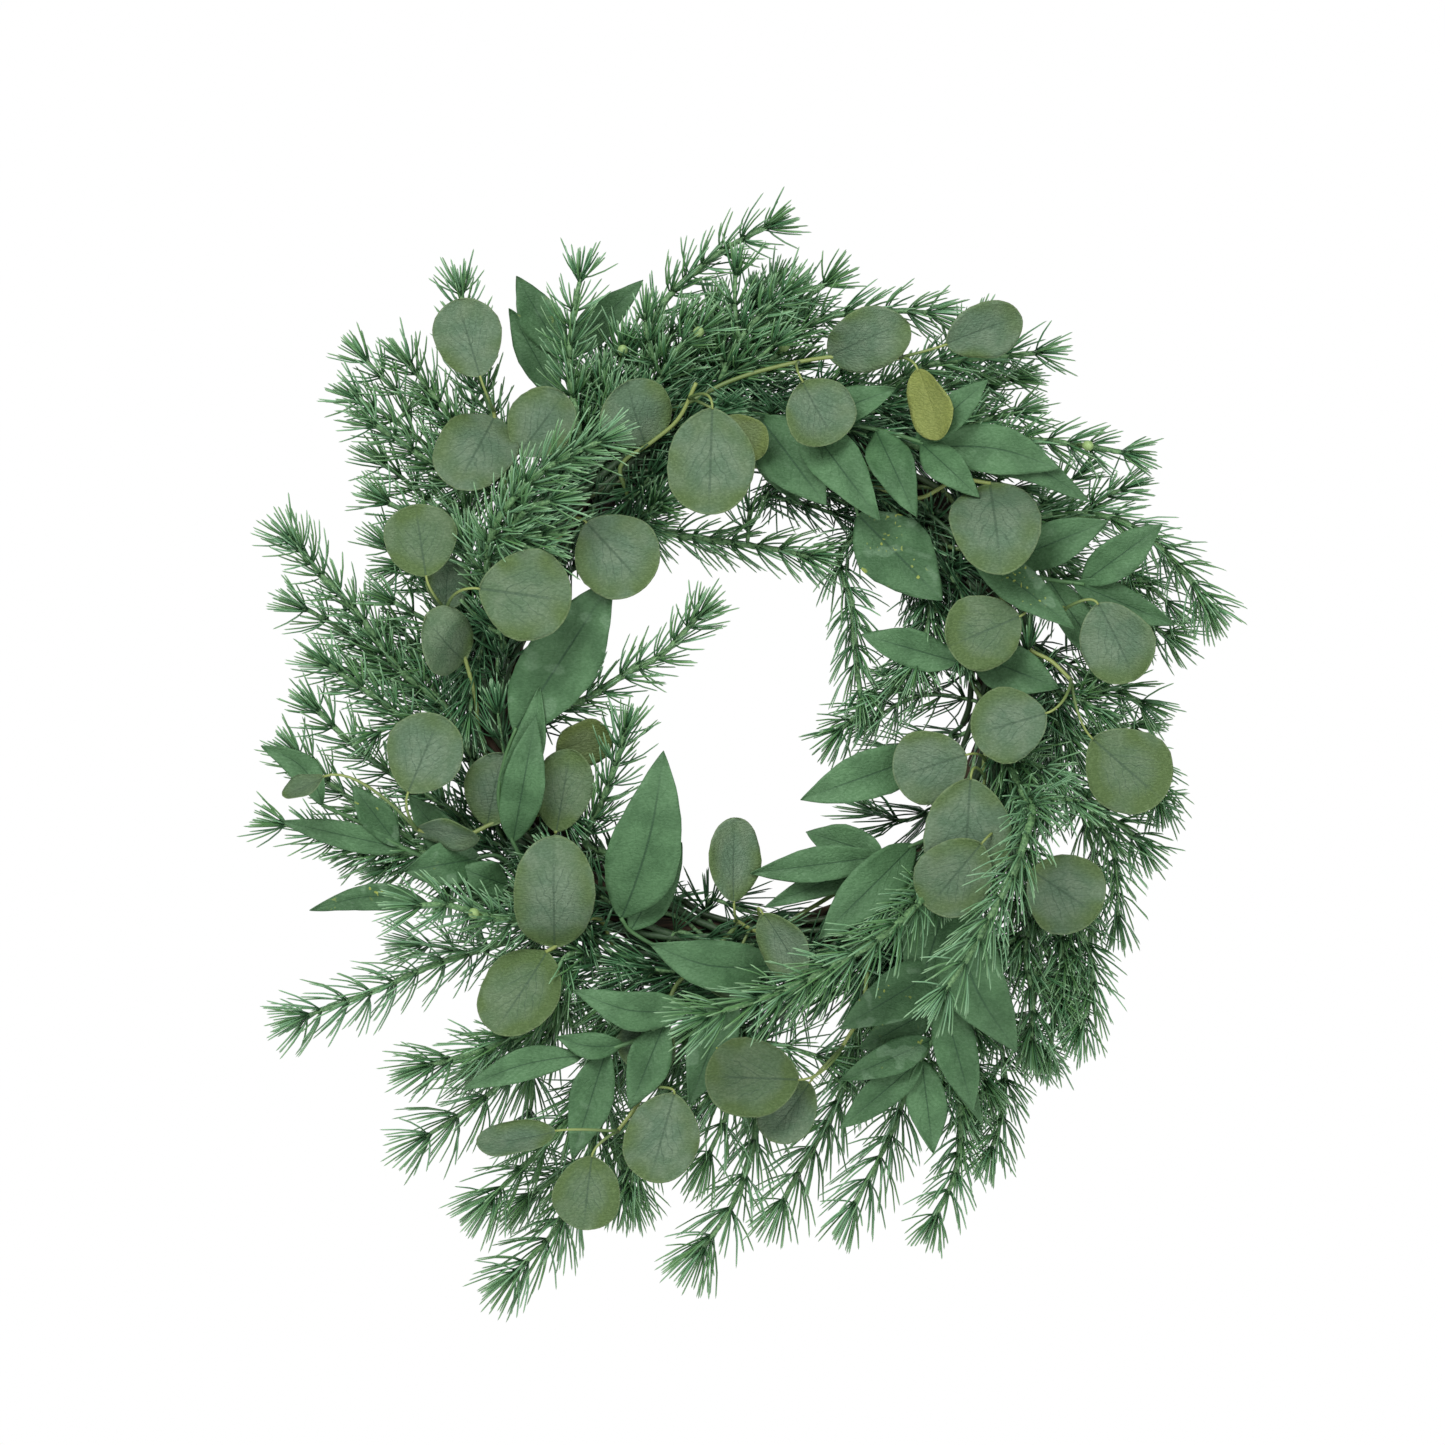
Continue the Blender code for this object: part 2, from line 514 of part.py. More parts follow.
def round_the_bundle(start, end):
    """The points between two places by the bundle that lead round its outside."""
    (theta, radius, phi), (end_theta, end_radius, end_phi) = bundle_place(start), bundle_place(end)
    turn, sweep = turn_between(phi, end_phi), turn_between(theta, end_theta)
    count = int(abs(turn) / math.radians(38))
    shares = [k / (count + 1) for k in range(1, count + 1)]
    return [bundle_point(theta + sweep * share, max(radius + (end_radius - radius) * share, EXIT_RADIUS),
                         phi + turn * share) for share in shares]


def bent(points, offset):
    """A stem's places with their depth changed, for a stem that is bent clear of others."""
    return [place(x, z, depth + offset) for x, z, depth in points]


def stem_room(owner, line, radius, seated):
    """A stem's room, less what it should have: its root and where it leaves the ring need little."""
    wanted = [STEM_CLEAR] * len(line)
    if seated:
        wanted = [STEM_CLEAR * min(1, max(0.15, (i - 4) * 0.2)) for i in range(len(line))]
    return space.tube_room(owner, line, [radius + share for share in wanted])


def best_line(owner, tries, radius, seated):
    """The first of the lines that is clear of other picks, or else the one with the most room."""
    best = None
    for key, line in tries:
        room = stem_room(owner, line, radius, seated)
        if room > 0:
            return room, key, line
        if best is None or room > best[0]:
            best = (room, key, line)
    return best


def rooted_tries(points):
    """Each way to lay a pick's main stem: by root first, then by how far it is bent to the front or back."""
    for station, groove in root_choices(place(*points[0]))[:10]:
        foot, bend, leaving = root_points(station, groove)
        way = (bend - foot).normalized()
        for offset in OFFSETS[:5]:
            path = bent(points, offset)
            climb = [bend, leaving] + round_the_bundle(leaving, path[0])
            yield (station, groove), [foot] + smooth(climb + path, STEM_STEP, way)


def forked_tries(lines, points):
    """Each way to lay a branch, which forks off the nearest one at about 40 degrees."""
    first = place(*points[0])
    away, at, parent = min(((spot - first).length, i, k) for k, line in enumerate(lines)
                           for i, spot in enumerate(line) if i > (2 if k else EXIT_INDEX))
    at -= round(1.2 * away / STEM_STEP)
    at = max(at, 2 if parent else EXIT_INDEX)
    for offset in OFFSETS:
        for shift in (0, 2, -1, 4):
            start = lines[parent][min(at + shift, len(lines[parent]) - 4)]
            yield parent, smooth([start] + bent(points, offset), STEM_STEP)


def lay_stems(spray):
    """Each stem of a pick as a smooth line, bent clear of what is already there."""
    owner = owner_of(spray.name)
    room, (station, groove), main = best_line(owner, rooted_tries(spray.stems[0]), STEM_RADIUS, True)
    taken.update({(groove, (station + step) % STATIONS) for step in (1, 2)})
    lines = [main]
    if room < 0:
        print("tight stem", spray.name, 0, "room %.2f mm" % (room / MM))
    for points in spray.stems[1:]:
        room, parent, line = best_line(owner, forked_tries(lines, points), FORK_RADIUS, False)
        fork_parents.setdefault(spray.name, []).append(parent)
        if room < 0:
            print("tight stem", spray.name, len(lines), "room %.2f mm" % (room / MM))
        lines.append(line)
    for branch, line in enumerate(lines):
        space.add_tube(owner, line, FORK_RADIUS if branch else STEM_RADIUS, branch)
    return lines


def nearest_on(lines, point):
    """The point of the stems nearest to a place seen from the front, past the root."""
    best = None
    for line in lines:
        length = line_length(line)
        start = BARE_START + (line[1] - line[0]).length if line is lines[0] else 5 * MM
        for distance in np.arange(start, length - 0.5 * MM, 1 * MM):
            spot = point_along(line, distance)
            away = math.hypot(spot.x - point.x, spot.z - point.z)
            if best is None or away < best[0]:
                best = (away, spot)
    return best[1]


def round_leaf_line(leaf, lift):
    """Base to tip of a round leaf, whose middle lies at its level and is lifted."""
    base = place(*leaf.base, leaf.level - leaf.rise / 2) - Vector((0, lift, 0))
    tip = place(*leaf.tip, leaf.level + leaf.rise / 2) - Vector((0, lift, 0))
    return [base, (base + tip) / 2 + Vector((0, 0.04 * (tip - base).length, 0)) * -1, tip]


def lance_leaf_line(leaf, lift, spot):
    """A lance leaf springs from the stem and arches over to its tip."""
    tip = place(*leaf.tip, leaf.level - 4 + leaf.rise) - Vector((0, lift, 0))
    rising = spot.lerp(tip, 0.22)
    rising.y = spot.y + (tip.y - spot.y) * 0.62
    middle = spot.lerp(tip, 0.55)
    middle.y = tip.y + (spot.y - tip.y) * 0.02 - 2 * MM
    aside = (tip - spot).cross(Vector((0, -1, 0))).normalized() * leaf.bow * MM
    return [spot, rising + aside * 0.7, middle + aside, tip]


def stalk_line(spot, leaf_line, swing):
    """A leaf stalk from the stem to a leaf's base, swung aside by some millimetres."""
    base = leaf_line[0]
    along = (leaf_line[-1] - base).normalized()
    reach = (base - spot).length
    aside = (base - spot).cross(Vector((0, -1, 0))).normalized() * swing * MM
    leave = spot + Vector((0, -0.4 * reach, 0)) + aside
    arrive = base - along * 0.35 * reach + aside * 0.5
    return [Vector(p) for p in interpolate_bezier(spot, leave, arrive, base + along * 0.6 * MM, 3)]


def lay_leaf(spray, lines, leaf, pointed):
    """A leaf, and the stalk of a round one, lifted to the front until both are clear of other picks."""
    owner = owner_of(spray.name)
    base = place(*leaf.base, 0)
    spot = nearest_on(lines, base)
    attached = pointed or math.hypot(spot.x - base.x, spot.z - base.z) < NEAR_STEM
    for lift in LIFTS:
        lift *= MM
        line = lance_leaf_line(leaf, lift, spot) if attached else round_leaf_line(leaf, lift)
        rows = 3 if pointed and leaf.width < 29 else 4
        test = blade_mesh("blade", blade_points(line, leaf.width * MM, leaf.roll, pointed, rows, 2))
        if space.blade_room(owner, test) < LEAF_CLEAR:
            continue
        if attached:
            space.add_blade(owner, test)
            return test, None
        for swing in STALK_SWINGS:
            stalk = stalk_line(spot, line, swing)
            if space.tube_room(owner, respaced(stalk, 2 * MM), STALK_RADIUS) > STEM_CLEAR:
                space.add_blade(owner, test)
                space.add_tube(owner, stalk, STALK_RADIUS)
                return test, stalk
    print("no room for a leaf of", spray.name, leaf.base, leaf.tip)
    return None, None


def curve_object(name, points, radii, twists, closed):
    curve = bpy.data.curves.new(name, "CURVE")
    curve.dimensions = "3D"
    spline = curve.splines.new("POLY")
    spline.points.add(len(points) - 1)
    spline.use_cyclic_u = closed
    for i, point in enumerate(points):
        spline.points[i].co = (*point, 1)
        spline.points[i].radius = radii[i]
        spline.points[i].tilt = twists[i]
    holder = bpy.data.objects.new(name, curve)
    bpy.context.scene.collection.objects.link(holder)
    return holder


def tube_mesh(name, points, radii, sides, twists, closed):
    """A tube as a mesh, made from a curve that a many-sided outline of radius 1 is swept along."""
    turns = [Vector((math.cos(TAU * k / sides), math.sin(TAU * k / sides), 0)) for k in range(sides)]
    outline = curve_object("outline", turns, [1] * sides, [0] * sides, True)
    outline.data.dimensions = "2D"
    holder = curve_object(name, points, radii, twists, closed)
    holder.data.bevel_mode = "OBJECT"
    holder.data.bevel_object = outline
    holder.data.use_fill_caps = not closed
    bpy.context.view_layer.update()
    mesh = bpy.data.meshes.new_from_object(holder.evaluated_get(bpy.context.evaluated_depsgraph_get()))
    for used in (holder, outline):
        curve = used.data
        bpy.data.objects.remove(used)
        bpy.data.curves.remove(curve)
    return mesh


def weld(bm):
    """The loose caps of a tube are joined to it, with every face turned outwards."""
    bmesh.ops.remove_doubles(bm, verts=bm.verts, dist=0.001 * MM)
    bmesh.ops.recalc_face_normals(bm, faces=bm.faces)
    if bm.calc_volume(signed=True) < 0:
        bmesh.ops.reverse_faces(bm, faces=bm.faces)


def welded_tube(name, points, radii, sides=TUBE_SIDES, closed=False, twist=0.0):
    mesh = tube_mesh(name, points, radii, sides, [twist] * len(points), closed)
    bm = bmesh.new()
    bm.from_mesh(mesh)
    weld(bm)
    bm.to_mesh(mesh)
    bm.free()
    return mesh


def coarse_stem(line, rooted):
    """A stem with few rings, closer together where it bends. Its straight root is one piece."""
    kept, since, turned = [0], 0.0, 0.0
    for i in range(1, len(line) - 1):
        since += (line[i] - line[i - 1]).length
        turned += (line[i] - line[i - 1]).angle(line[i + 1] - line[i])
        if (rooted and i == 1) or turned * since > 3.2 * MM or since > 26 * MM:
            kept.append(i)
            since, turned = 0.0, 0.0
    return [line[i] for i in kept] + [line[-1]]


def drop_scraps(mesh):
    """Only the largest body is kept: loose scraps and sealed hollows that the union left are dropped."""
    bm = bmesh.new()
    bm.from_mesh(mesh)
    bodies, seen = [], set()
    for start in bm.verts:
        if start in seen:
            continue
        body, queue = [start], [start]
        seen.add(start)
        while queue:
            for edge in queue.pop().link_edges:
                for vertex in edge.verts:
                    if vertex not in seen:
                        seen.add(vertex)
                        body.append(vertex)
                        queue.append(vertex)
        bodies.append(body)
    bodies.sort(key=len)
    for body in bodies[:-1]:
        print("dropped", mesh.name, len(body), tuple(round(c / MM) for c in body[0].co))
        bmesh.ops.delete(bm, geom=body, context="VERTS")
    bmesh.ops.triangulate(bm, faces=bm.faces)
    bm.to_mesh(mesh)
    bm.free()
    return mesh


def material(name, colour, roughness):
    made = bpy.data.materials.new(name)
    made.use_nodes = True
    shader = made.node_tree.nodes["Principled BSDF"]
    shader.inputs["Base Color"].default_value = (*colour, 1)
    shader.inputs["Roughness"].default_value = roughness
    made.diffuse_color = (*colour, 1)
    return made


def add_object(name, mesh, finish, group):
    thing = bpy.data.objects.new(name, mesh)
    mesh.materials.clear()
    mesh.materials.append(finish)
    group.objects.link(thing)
    return thing


def fuse(thing, meshes):
    """One Boolean union joins the meshes, given as (mesh, is_blade), to the object."""
    group = bpy.data.collections.new(thing.name + "_pieces")
    bpy.context.scene.collection.children.link(group)
    for i, (mesh, is_blade) in enumerate(meshes):
        piece = bpy.data.objects.new("%s_piece_%d" % (thing.name, i), mesh)
        group.objects.link(piece)
        if is_blade:
            skin = piece.modifiers.new("thickness", "SOLIDIFY")
            skin.thickness = LEAF_THICKNESS
            skin.offset = 0
    union = thing.modifiers.new("union", "BOOLEAN")
    union.operation = "UNION"
    union.operand_type = "COLLECTION"
    union.collection = group
    union.solver = "MANIFOLD"
    bpy.context.view_layer.update()
    fused = bpy.data.meshes.new_from_object(thing.evaluated_get(bpy.context.evaluated_depsgraph_get()))
    thing.modifiers.clear()
    thing.data = drop_scraps(fused)
    for piece in list(group.objects):
        bpy.data.objects.remove(piece)
    bpy.data.collections.remove(group)


def build_ring(group, finish):
    for strand in range(STRAND_COUNT):
        points = []
        for station in range(STATIONS):
            theta = station_angle(station)
            points.append(bundle_point(theta, STRAND_OFFSET, strand_phase(strand, theta)))
        mesh = welded_tube("vine", points, [STRAND_RADIUS] * STATIONS, STRAND_SIDES, True)
        add_object("vine_%d" % (strand + 1), mesh, finish, group)
        space.add_tube(owner_of("vine_%d" % (strand + 1)), points + points[:1], STRAND_RADIUS)


def build_bindings(group, finish):
    """Wire wound tight round the strands, at the nearest free place to an even spacing."""
    loop_radius = BUNDLE_RADIUS + GAP + BINDING_WIRE
    for number in range(BINDING_COUNT):
        even = 360 / BINDING_COUNT * (number + 0.35)
        for shift in range(0, 30):
            theta = math.radians(even + shift * 0.75 * (-1) ** shift)
            phase = strand_phase(0, theta)
            loop = [bundle_point(theta, loop_radius, phase + TAU * k / 12) for k in range(12)]
            owner = owner_of("binding_%d" % (number + 1))
            clear = [bundle_point(theta, loop_radius, phase + TAU * k / 48) for k in range(48)]
            near = space.tube_room(owner, clear, BINDING_WIRE)
            if near > 0.25 * MM:
                mesh = welded_tube("binding", loop, [BINDING_WIRE] * 12, closed=True)
                add_object("binding_%d" % (number + 1), mesh, finish, group)
                space.add_tube(owner, loop + loop[:1], BINDING_WIRE)
                break
        else:
            print("no free place for binding", number + 1)


def line_length(line):
    return sum((b - a).length for a, b in zip(line, line[1:]))


def point_along(line, distance):
    for a, b in zip(line, line[1:]):
        step = (b - a).length
        if distance <= step:
            return a.lerp(b, distance / step)
        distance -= step
    return line[-1]


def tuft_marks(line, children, first):
    """The distances along a branch where tufts of needles stand, the last at the tip and none at a fork."""
    forks = [line_length(line[:line.index(child) + 1]) for child in children]
    length = line_length(line)
    start = 0 if first else 15 * MM
    while start < length:
        point = point_along(line, start)
        from_ring = math.hypot(math.hypot(point.x, point.z + HOOK_HEIGHT) - RING_RADIUS, point.y)
        if from_ring > BARE_REACH:
            break
        start += 2 * MM
    end = length - 2 * TUFT_ROW - 1 * MM
    count = max(1, round((end - start) / TUFT_SPACING))
    marks = []
    for k in range(count, -1, -1):
        mark = end - (end - start) * k / count
        for fork in forks:
            if -4 * MM < mark - fork < 10 * MM and k:
                mark = fork + 10 * MM
        if mark > 0 and (not marks or mark - marks[-1] > 3 * TUFT_ROW):
            marks.append(mark)
    return marks


def build_branch(owner, branch, line, children, draw):
    """A stem whose tufts are rings of faces, each face drawn out to a needle."""
    length = line_length(line)
    marks = tuft_marks(line, children, branch == 0)
    bends = [line_length(line[:line.index(point) + 1]) for point in coarse_stem(line, branch == 0)[:-1]]
    stations = [(mark + row * TUFT_ROW, row < 2) for mark in marks for row in range(3)]
    stations += [(bend, False) for bend in bends
                 if all(abs(bend - mark - TUFT_ROW) > 5 * MM for mark in marks)]
    stations.sort()
    points = [point_along(line, distance) for distance, _ in stations]
    twists, turn = [], FORK_TWIST * branch
    for _, is_row in stations:
        twists.append(turn)
        turn += math.radians(55) if is_row else math.radians(draw.uniform(5, 30))
    thick = FORK_RADIUS if branch else STEM_RADIUS
    taper = [thick + (TIP_RADIUS - thick) * (s / length) ** 2 for s, _ in stations]
    mesh = tube_mesh("branch", points, taper, TUBE_SIDES, twists, False)
    bm = bmesh.new()
    bm.from_mesh(mesh)
    ring_of = bm.faces.layers.int.new("ring_of")
    rows = {i: row for row, i in enumerate([k for k, (_, is_row) in enumerate(stations) if is_row])}
    for face in bm.faces:
        ring = min(v.index // TUBE_SIDES for v in face.verts) - 2
        face[ring_of] = ring if len(face.verts) == 4 and ring in rows else -1
    weld(bm)
    for face in [face for face in bm.faces if face[ring_of] >= 0]:
        ring, row = face[ring_of], rows[face[ring_of]] % 2
        axis = (points[ring + 1] - points[ring]).normalized()
        centre = face.calc_center_median()
        outward = centre - (points[ring] + points[ring + 1]) / 2
        outward = (outward - axis * outward.dot(axis)).normalized()
        tip = clear_tip(owner, branch, centre, axis, outward, NEEDLE_ROWS[row], draw)
        if tip:
            poked = bmesh.ops.poke(bm, faces=[face])
            poked["verts"][0].co = tip
            space.add_tube(owner, [centre.lerp(tip, 0.12), tip], 0.45 * MM)
    bm.faces.layers.int.remove(ring_of)
    bm.to_mesh(mesh)
    bm.free()
    return mesh


def clear_tip(owner, branch, centre, axis, outward, row, draw):
    """The tip of a needle, turned until the needle is clear of all others."""
    lean, share = row
    side = axis.cross(outward)
    length = NEEDLE_LENGTH * share * draw.uniform(0.92, 1.08)
    for attempt in range(7):
        tilt = math.radians(lean + draw.uniform(-6, 6) - 4 * attempt)
        swing = math.radians(draw.uniform(-16, 16) * (1 + attempt * 0.4))
        way = axis * math.cos(tilt) + (outward * math.cos(swing) + side * math.sin(swing)) * math.sin(tilt)
        tip = centre + way * length
        samples = [centre.lerp(tip, k / 12) for k in range(1, 13)]
        radii = [0.75 * MM * (1 - 0.7 * k / 12) for k in range(1, 13)]
        if space.tube_room(owner, samples, radii) < NEEDLE_CLEAR:
            continue
        if space.own_room(owner, branch, samples, radii) > 0.2 * MM:
            return tip
    return None


def build_picks():
    for old in list(bpy.data.objects):
        bpy.data.objects.remove(old)
    group = bpy.data.collections.new("leaf_wreath")
    bpy.context.scene.collection.children.link(group)
    bark = material("vine_bark", (0.075, 0.045, 0.03), 0.85)
    wire = material("green_wire", (0.03, 0.10, 0.05), 0.5)
    needle_green = material("pine_green", (0.06, 0.20, 0.09), 0.55)
    grey_green = material("grey_leaf_green", (0.14, 0.25, 0.15), 0.6)
    blue_green = material("lance_leaf_green", (0.09, 0.24, 0.13), 0.55)

    build_ring(group, bark)
    pine_lines = {spray.name: lay_stems(spray) for spray in PINE}
    leafy_lines = {}
    for spray in LANCE + ROUND:
        leafy_lines[spray.name] = [coarse_stem(line, i == 0) for i, line in enumerate(lay_stems(spray))]
    build_bindings(group, wire)

    laid = {spray.name: [] for spray in LANCE + ROUND}
    waiting = [(leaf.level, spray, leaf, True) for spray in LANCE for leaf in spray.leaves]
    waiting += [(leaf.level, spray, leaf, False) for spray in ROUND for leaf in spray.leaves]
    waiting.sort(key=lambda entry: entry[0])
    for _, spray, leaf, pointed in waiting:
        blade, stalk = lay_leaf(spray, leafy_lines[spray.name], leaf, pointed)
        if blade:
            laid[spray.name].append((blade, stalk))

    for spray in LANCE + ROUND:
        pointed = spray in LANCE
        lines = leafy_lines[spray.name]
        meshes = []
        for i, line in enumerate(lines):
            radius = FORK_RADIUS if i else STEM_RADIUS
            meshes.append(welded_tube("stem", line, [radius] * len(line), twist=FORK_TWIST * i))
        thing = add_object(spray.name, meshes[0], blue_green if pointed else grey_green, group)
        pieces = [(mesh, False) for mesh in meshes[1:]]
        for blade, stalk in laid[spray.name]:
            pieces.append((blade, True))
            if stalk:
                tube = welded_tube("stalk", stalk, [STALK_RADIUS] * len(stalk), twist=FORK_TWIST)
                pieces.append((tube, False))
        fuse(thing, pieces)

    draw = random.Random(NEEDLE_SEED)
    for spray in PINE:
        owner = owner_of(spray.name)
        lines = pine_lines[spray.name]
        parents = fork_parents.get(spray.name, [])
        meshes = []
        for i, line in enumerate(lines):
            children = [lines[k + 1][0] for k, parent in enumerate(parents) if parent == i]
            meshes.append(build_branch(owner, i, line, children, draw))
        thing = add_object(spray.name, meshes[0], needle_green, group)
        if len(meshes) > 1:
            fuse(thing, [(mesh, False) for mesh in meshes[1:]])
        thing.data.materials.clear()
        thing.data.materials.append(needle_green)
    total = sum(len(p.vertices) - 2 for thing in group.objects for p in thing.data.polygons)
    print("objects", len(group.objects), "triangles", total)


build_picks()
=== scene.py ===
# %% [markdown]
# # A leaf wreath, dressed
# The wreath is a ring of twisted vine. Pine sprays, round-leaf sprays and lance-leaf sprays are bound
# to it, and it hangs on a hook by the inner side of the ring's top. Its plain solids are packed already
# and are loaded here as a fixed frame. This script gives each of them its looks: every spray gets a
# finer piece in the same place, with more needles, cupped leaves with veins, and its own finish.

# %% Load the frame
import math
import random
from collections import namedtuple

import bpy
import numpy as np
from mathutils import Matrix, Vector
from mathutils.bvhtree import BVHTree
from mathutils.geometry import interpolate_bezier


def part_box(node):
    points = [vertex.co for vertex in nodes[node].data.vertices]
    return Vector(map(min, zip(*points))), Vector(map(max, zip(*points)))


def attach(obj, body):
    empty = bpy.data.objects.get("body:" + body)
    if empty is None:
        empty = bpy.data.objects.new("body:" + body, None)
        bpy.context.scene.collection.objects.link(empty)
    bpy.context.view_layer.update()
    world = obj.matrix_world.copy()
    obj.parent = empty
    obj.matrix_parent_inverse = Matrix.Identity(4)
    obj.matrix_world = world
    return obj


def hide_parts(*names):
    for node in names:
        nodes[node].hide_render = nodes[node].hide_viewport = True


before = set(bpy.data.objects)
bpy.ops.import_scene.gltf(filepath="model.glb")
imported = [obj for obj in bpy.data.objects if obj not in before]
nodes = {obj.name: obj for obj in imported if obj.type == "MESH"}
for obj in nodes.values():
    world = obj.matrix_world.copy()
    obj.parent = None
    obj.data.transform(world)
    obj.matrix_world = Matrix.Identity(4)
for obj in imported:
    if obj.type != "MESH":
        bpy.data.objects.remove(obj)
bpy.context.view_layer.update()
print("solids loaded:", len(nodes))

# %% [markdown]
# The same measures that the solids were made from: the ring, the stems and the leaves, in metres.
# A table's place is in millimetres from the ring's centre: x to the right, z up, and depth towards
# the viewer. Keeping them in named values lets each finer piece be laid on its own solid.

# %% Measures
MM = 0.001
TAU = math.tau
RING_RADIUS = 141 * MM
STRAND_COUNT = 4
STRAND_TURNS = 4
STRAND_RADIUS = 5.6 * MM
STRAND_OFFSET = 9.0 * MM
BUNDLE_RADIUS = STRAND_OFFSET + STRAND_RADIUS
HOOK_HEIGHT = RING_RADIUS - BUNDLE_RADIUS
STEM_RADIUS = 1.4 * MM
FORK_RADIUS = 1.15 * MM
STALK_RADIUS = 1.1 * MM

Leaf = namedtuple("Leaf", "base tip width level roll bow rise", defaults=(0, 0, 0))
Spray = namedtuple("Spray", "name stems leaves", defaults=((),))
print("ring %.0f mm across" % (2 * RING_RADIUS / MM))

# %% [markdown]
# ## Where each spray lies
# A pine spray is a main branch with others that fork off it. A leafy spray is a stem with its leaves.
# The tables say where each branch runs, and where each leaf has its base and tip, how wide it is and
# how far out it lies. Some leaves are also rolled, bowed to one side or raised at the tip.

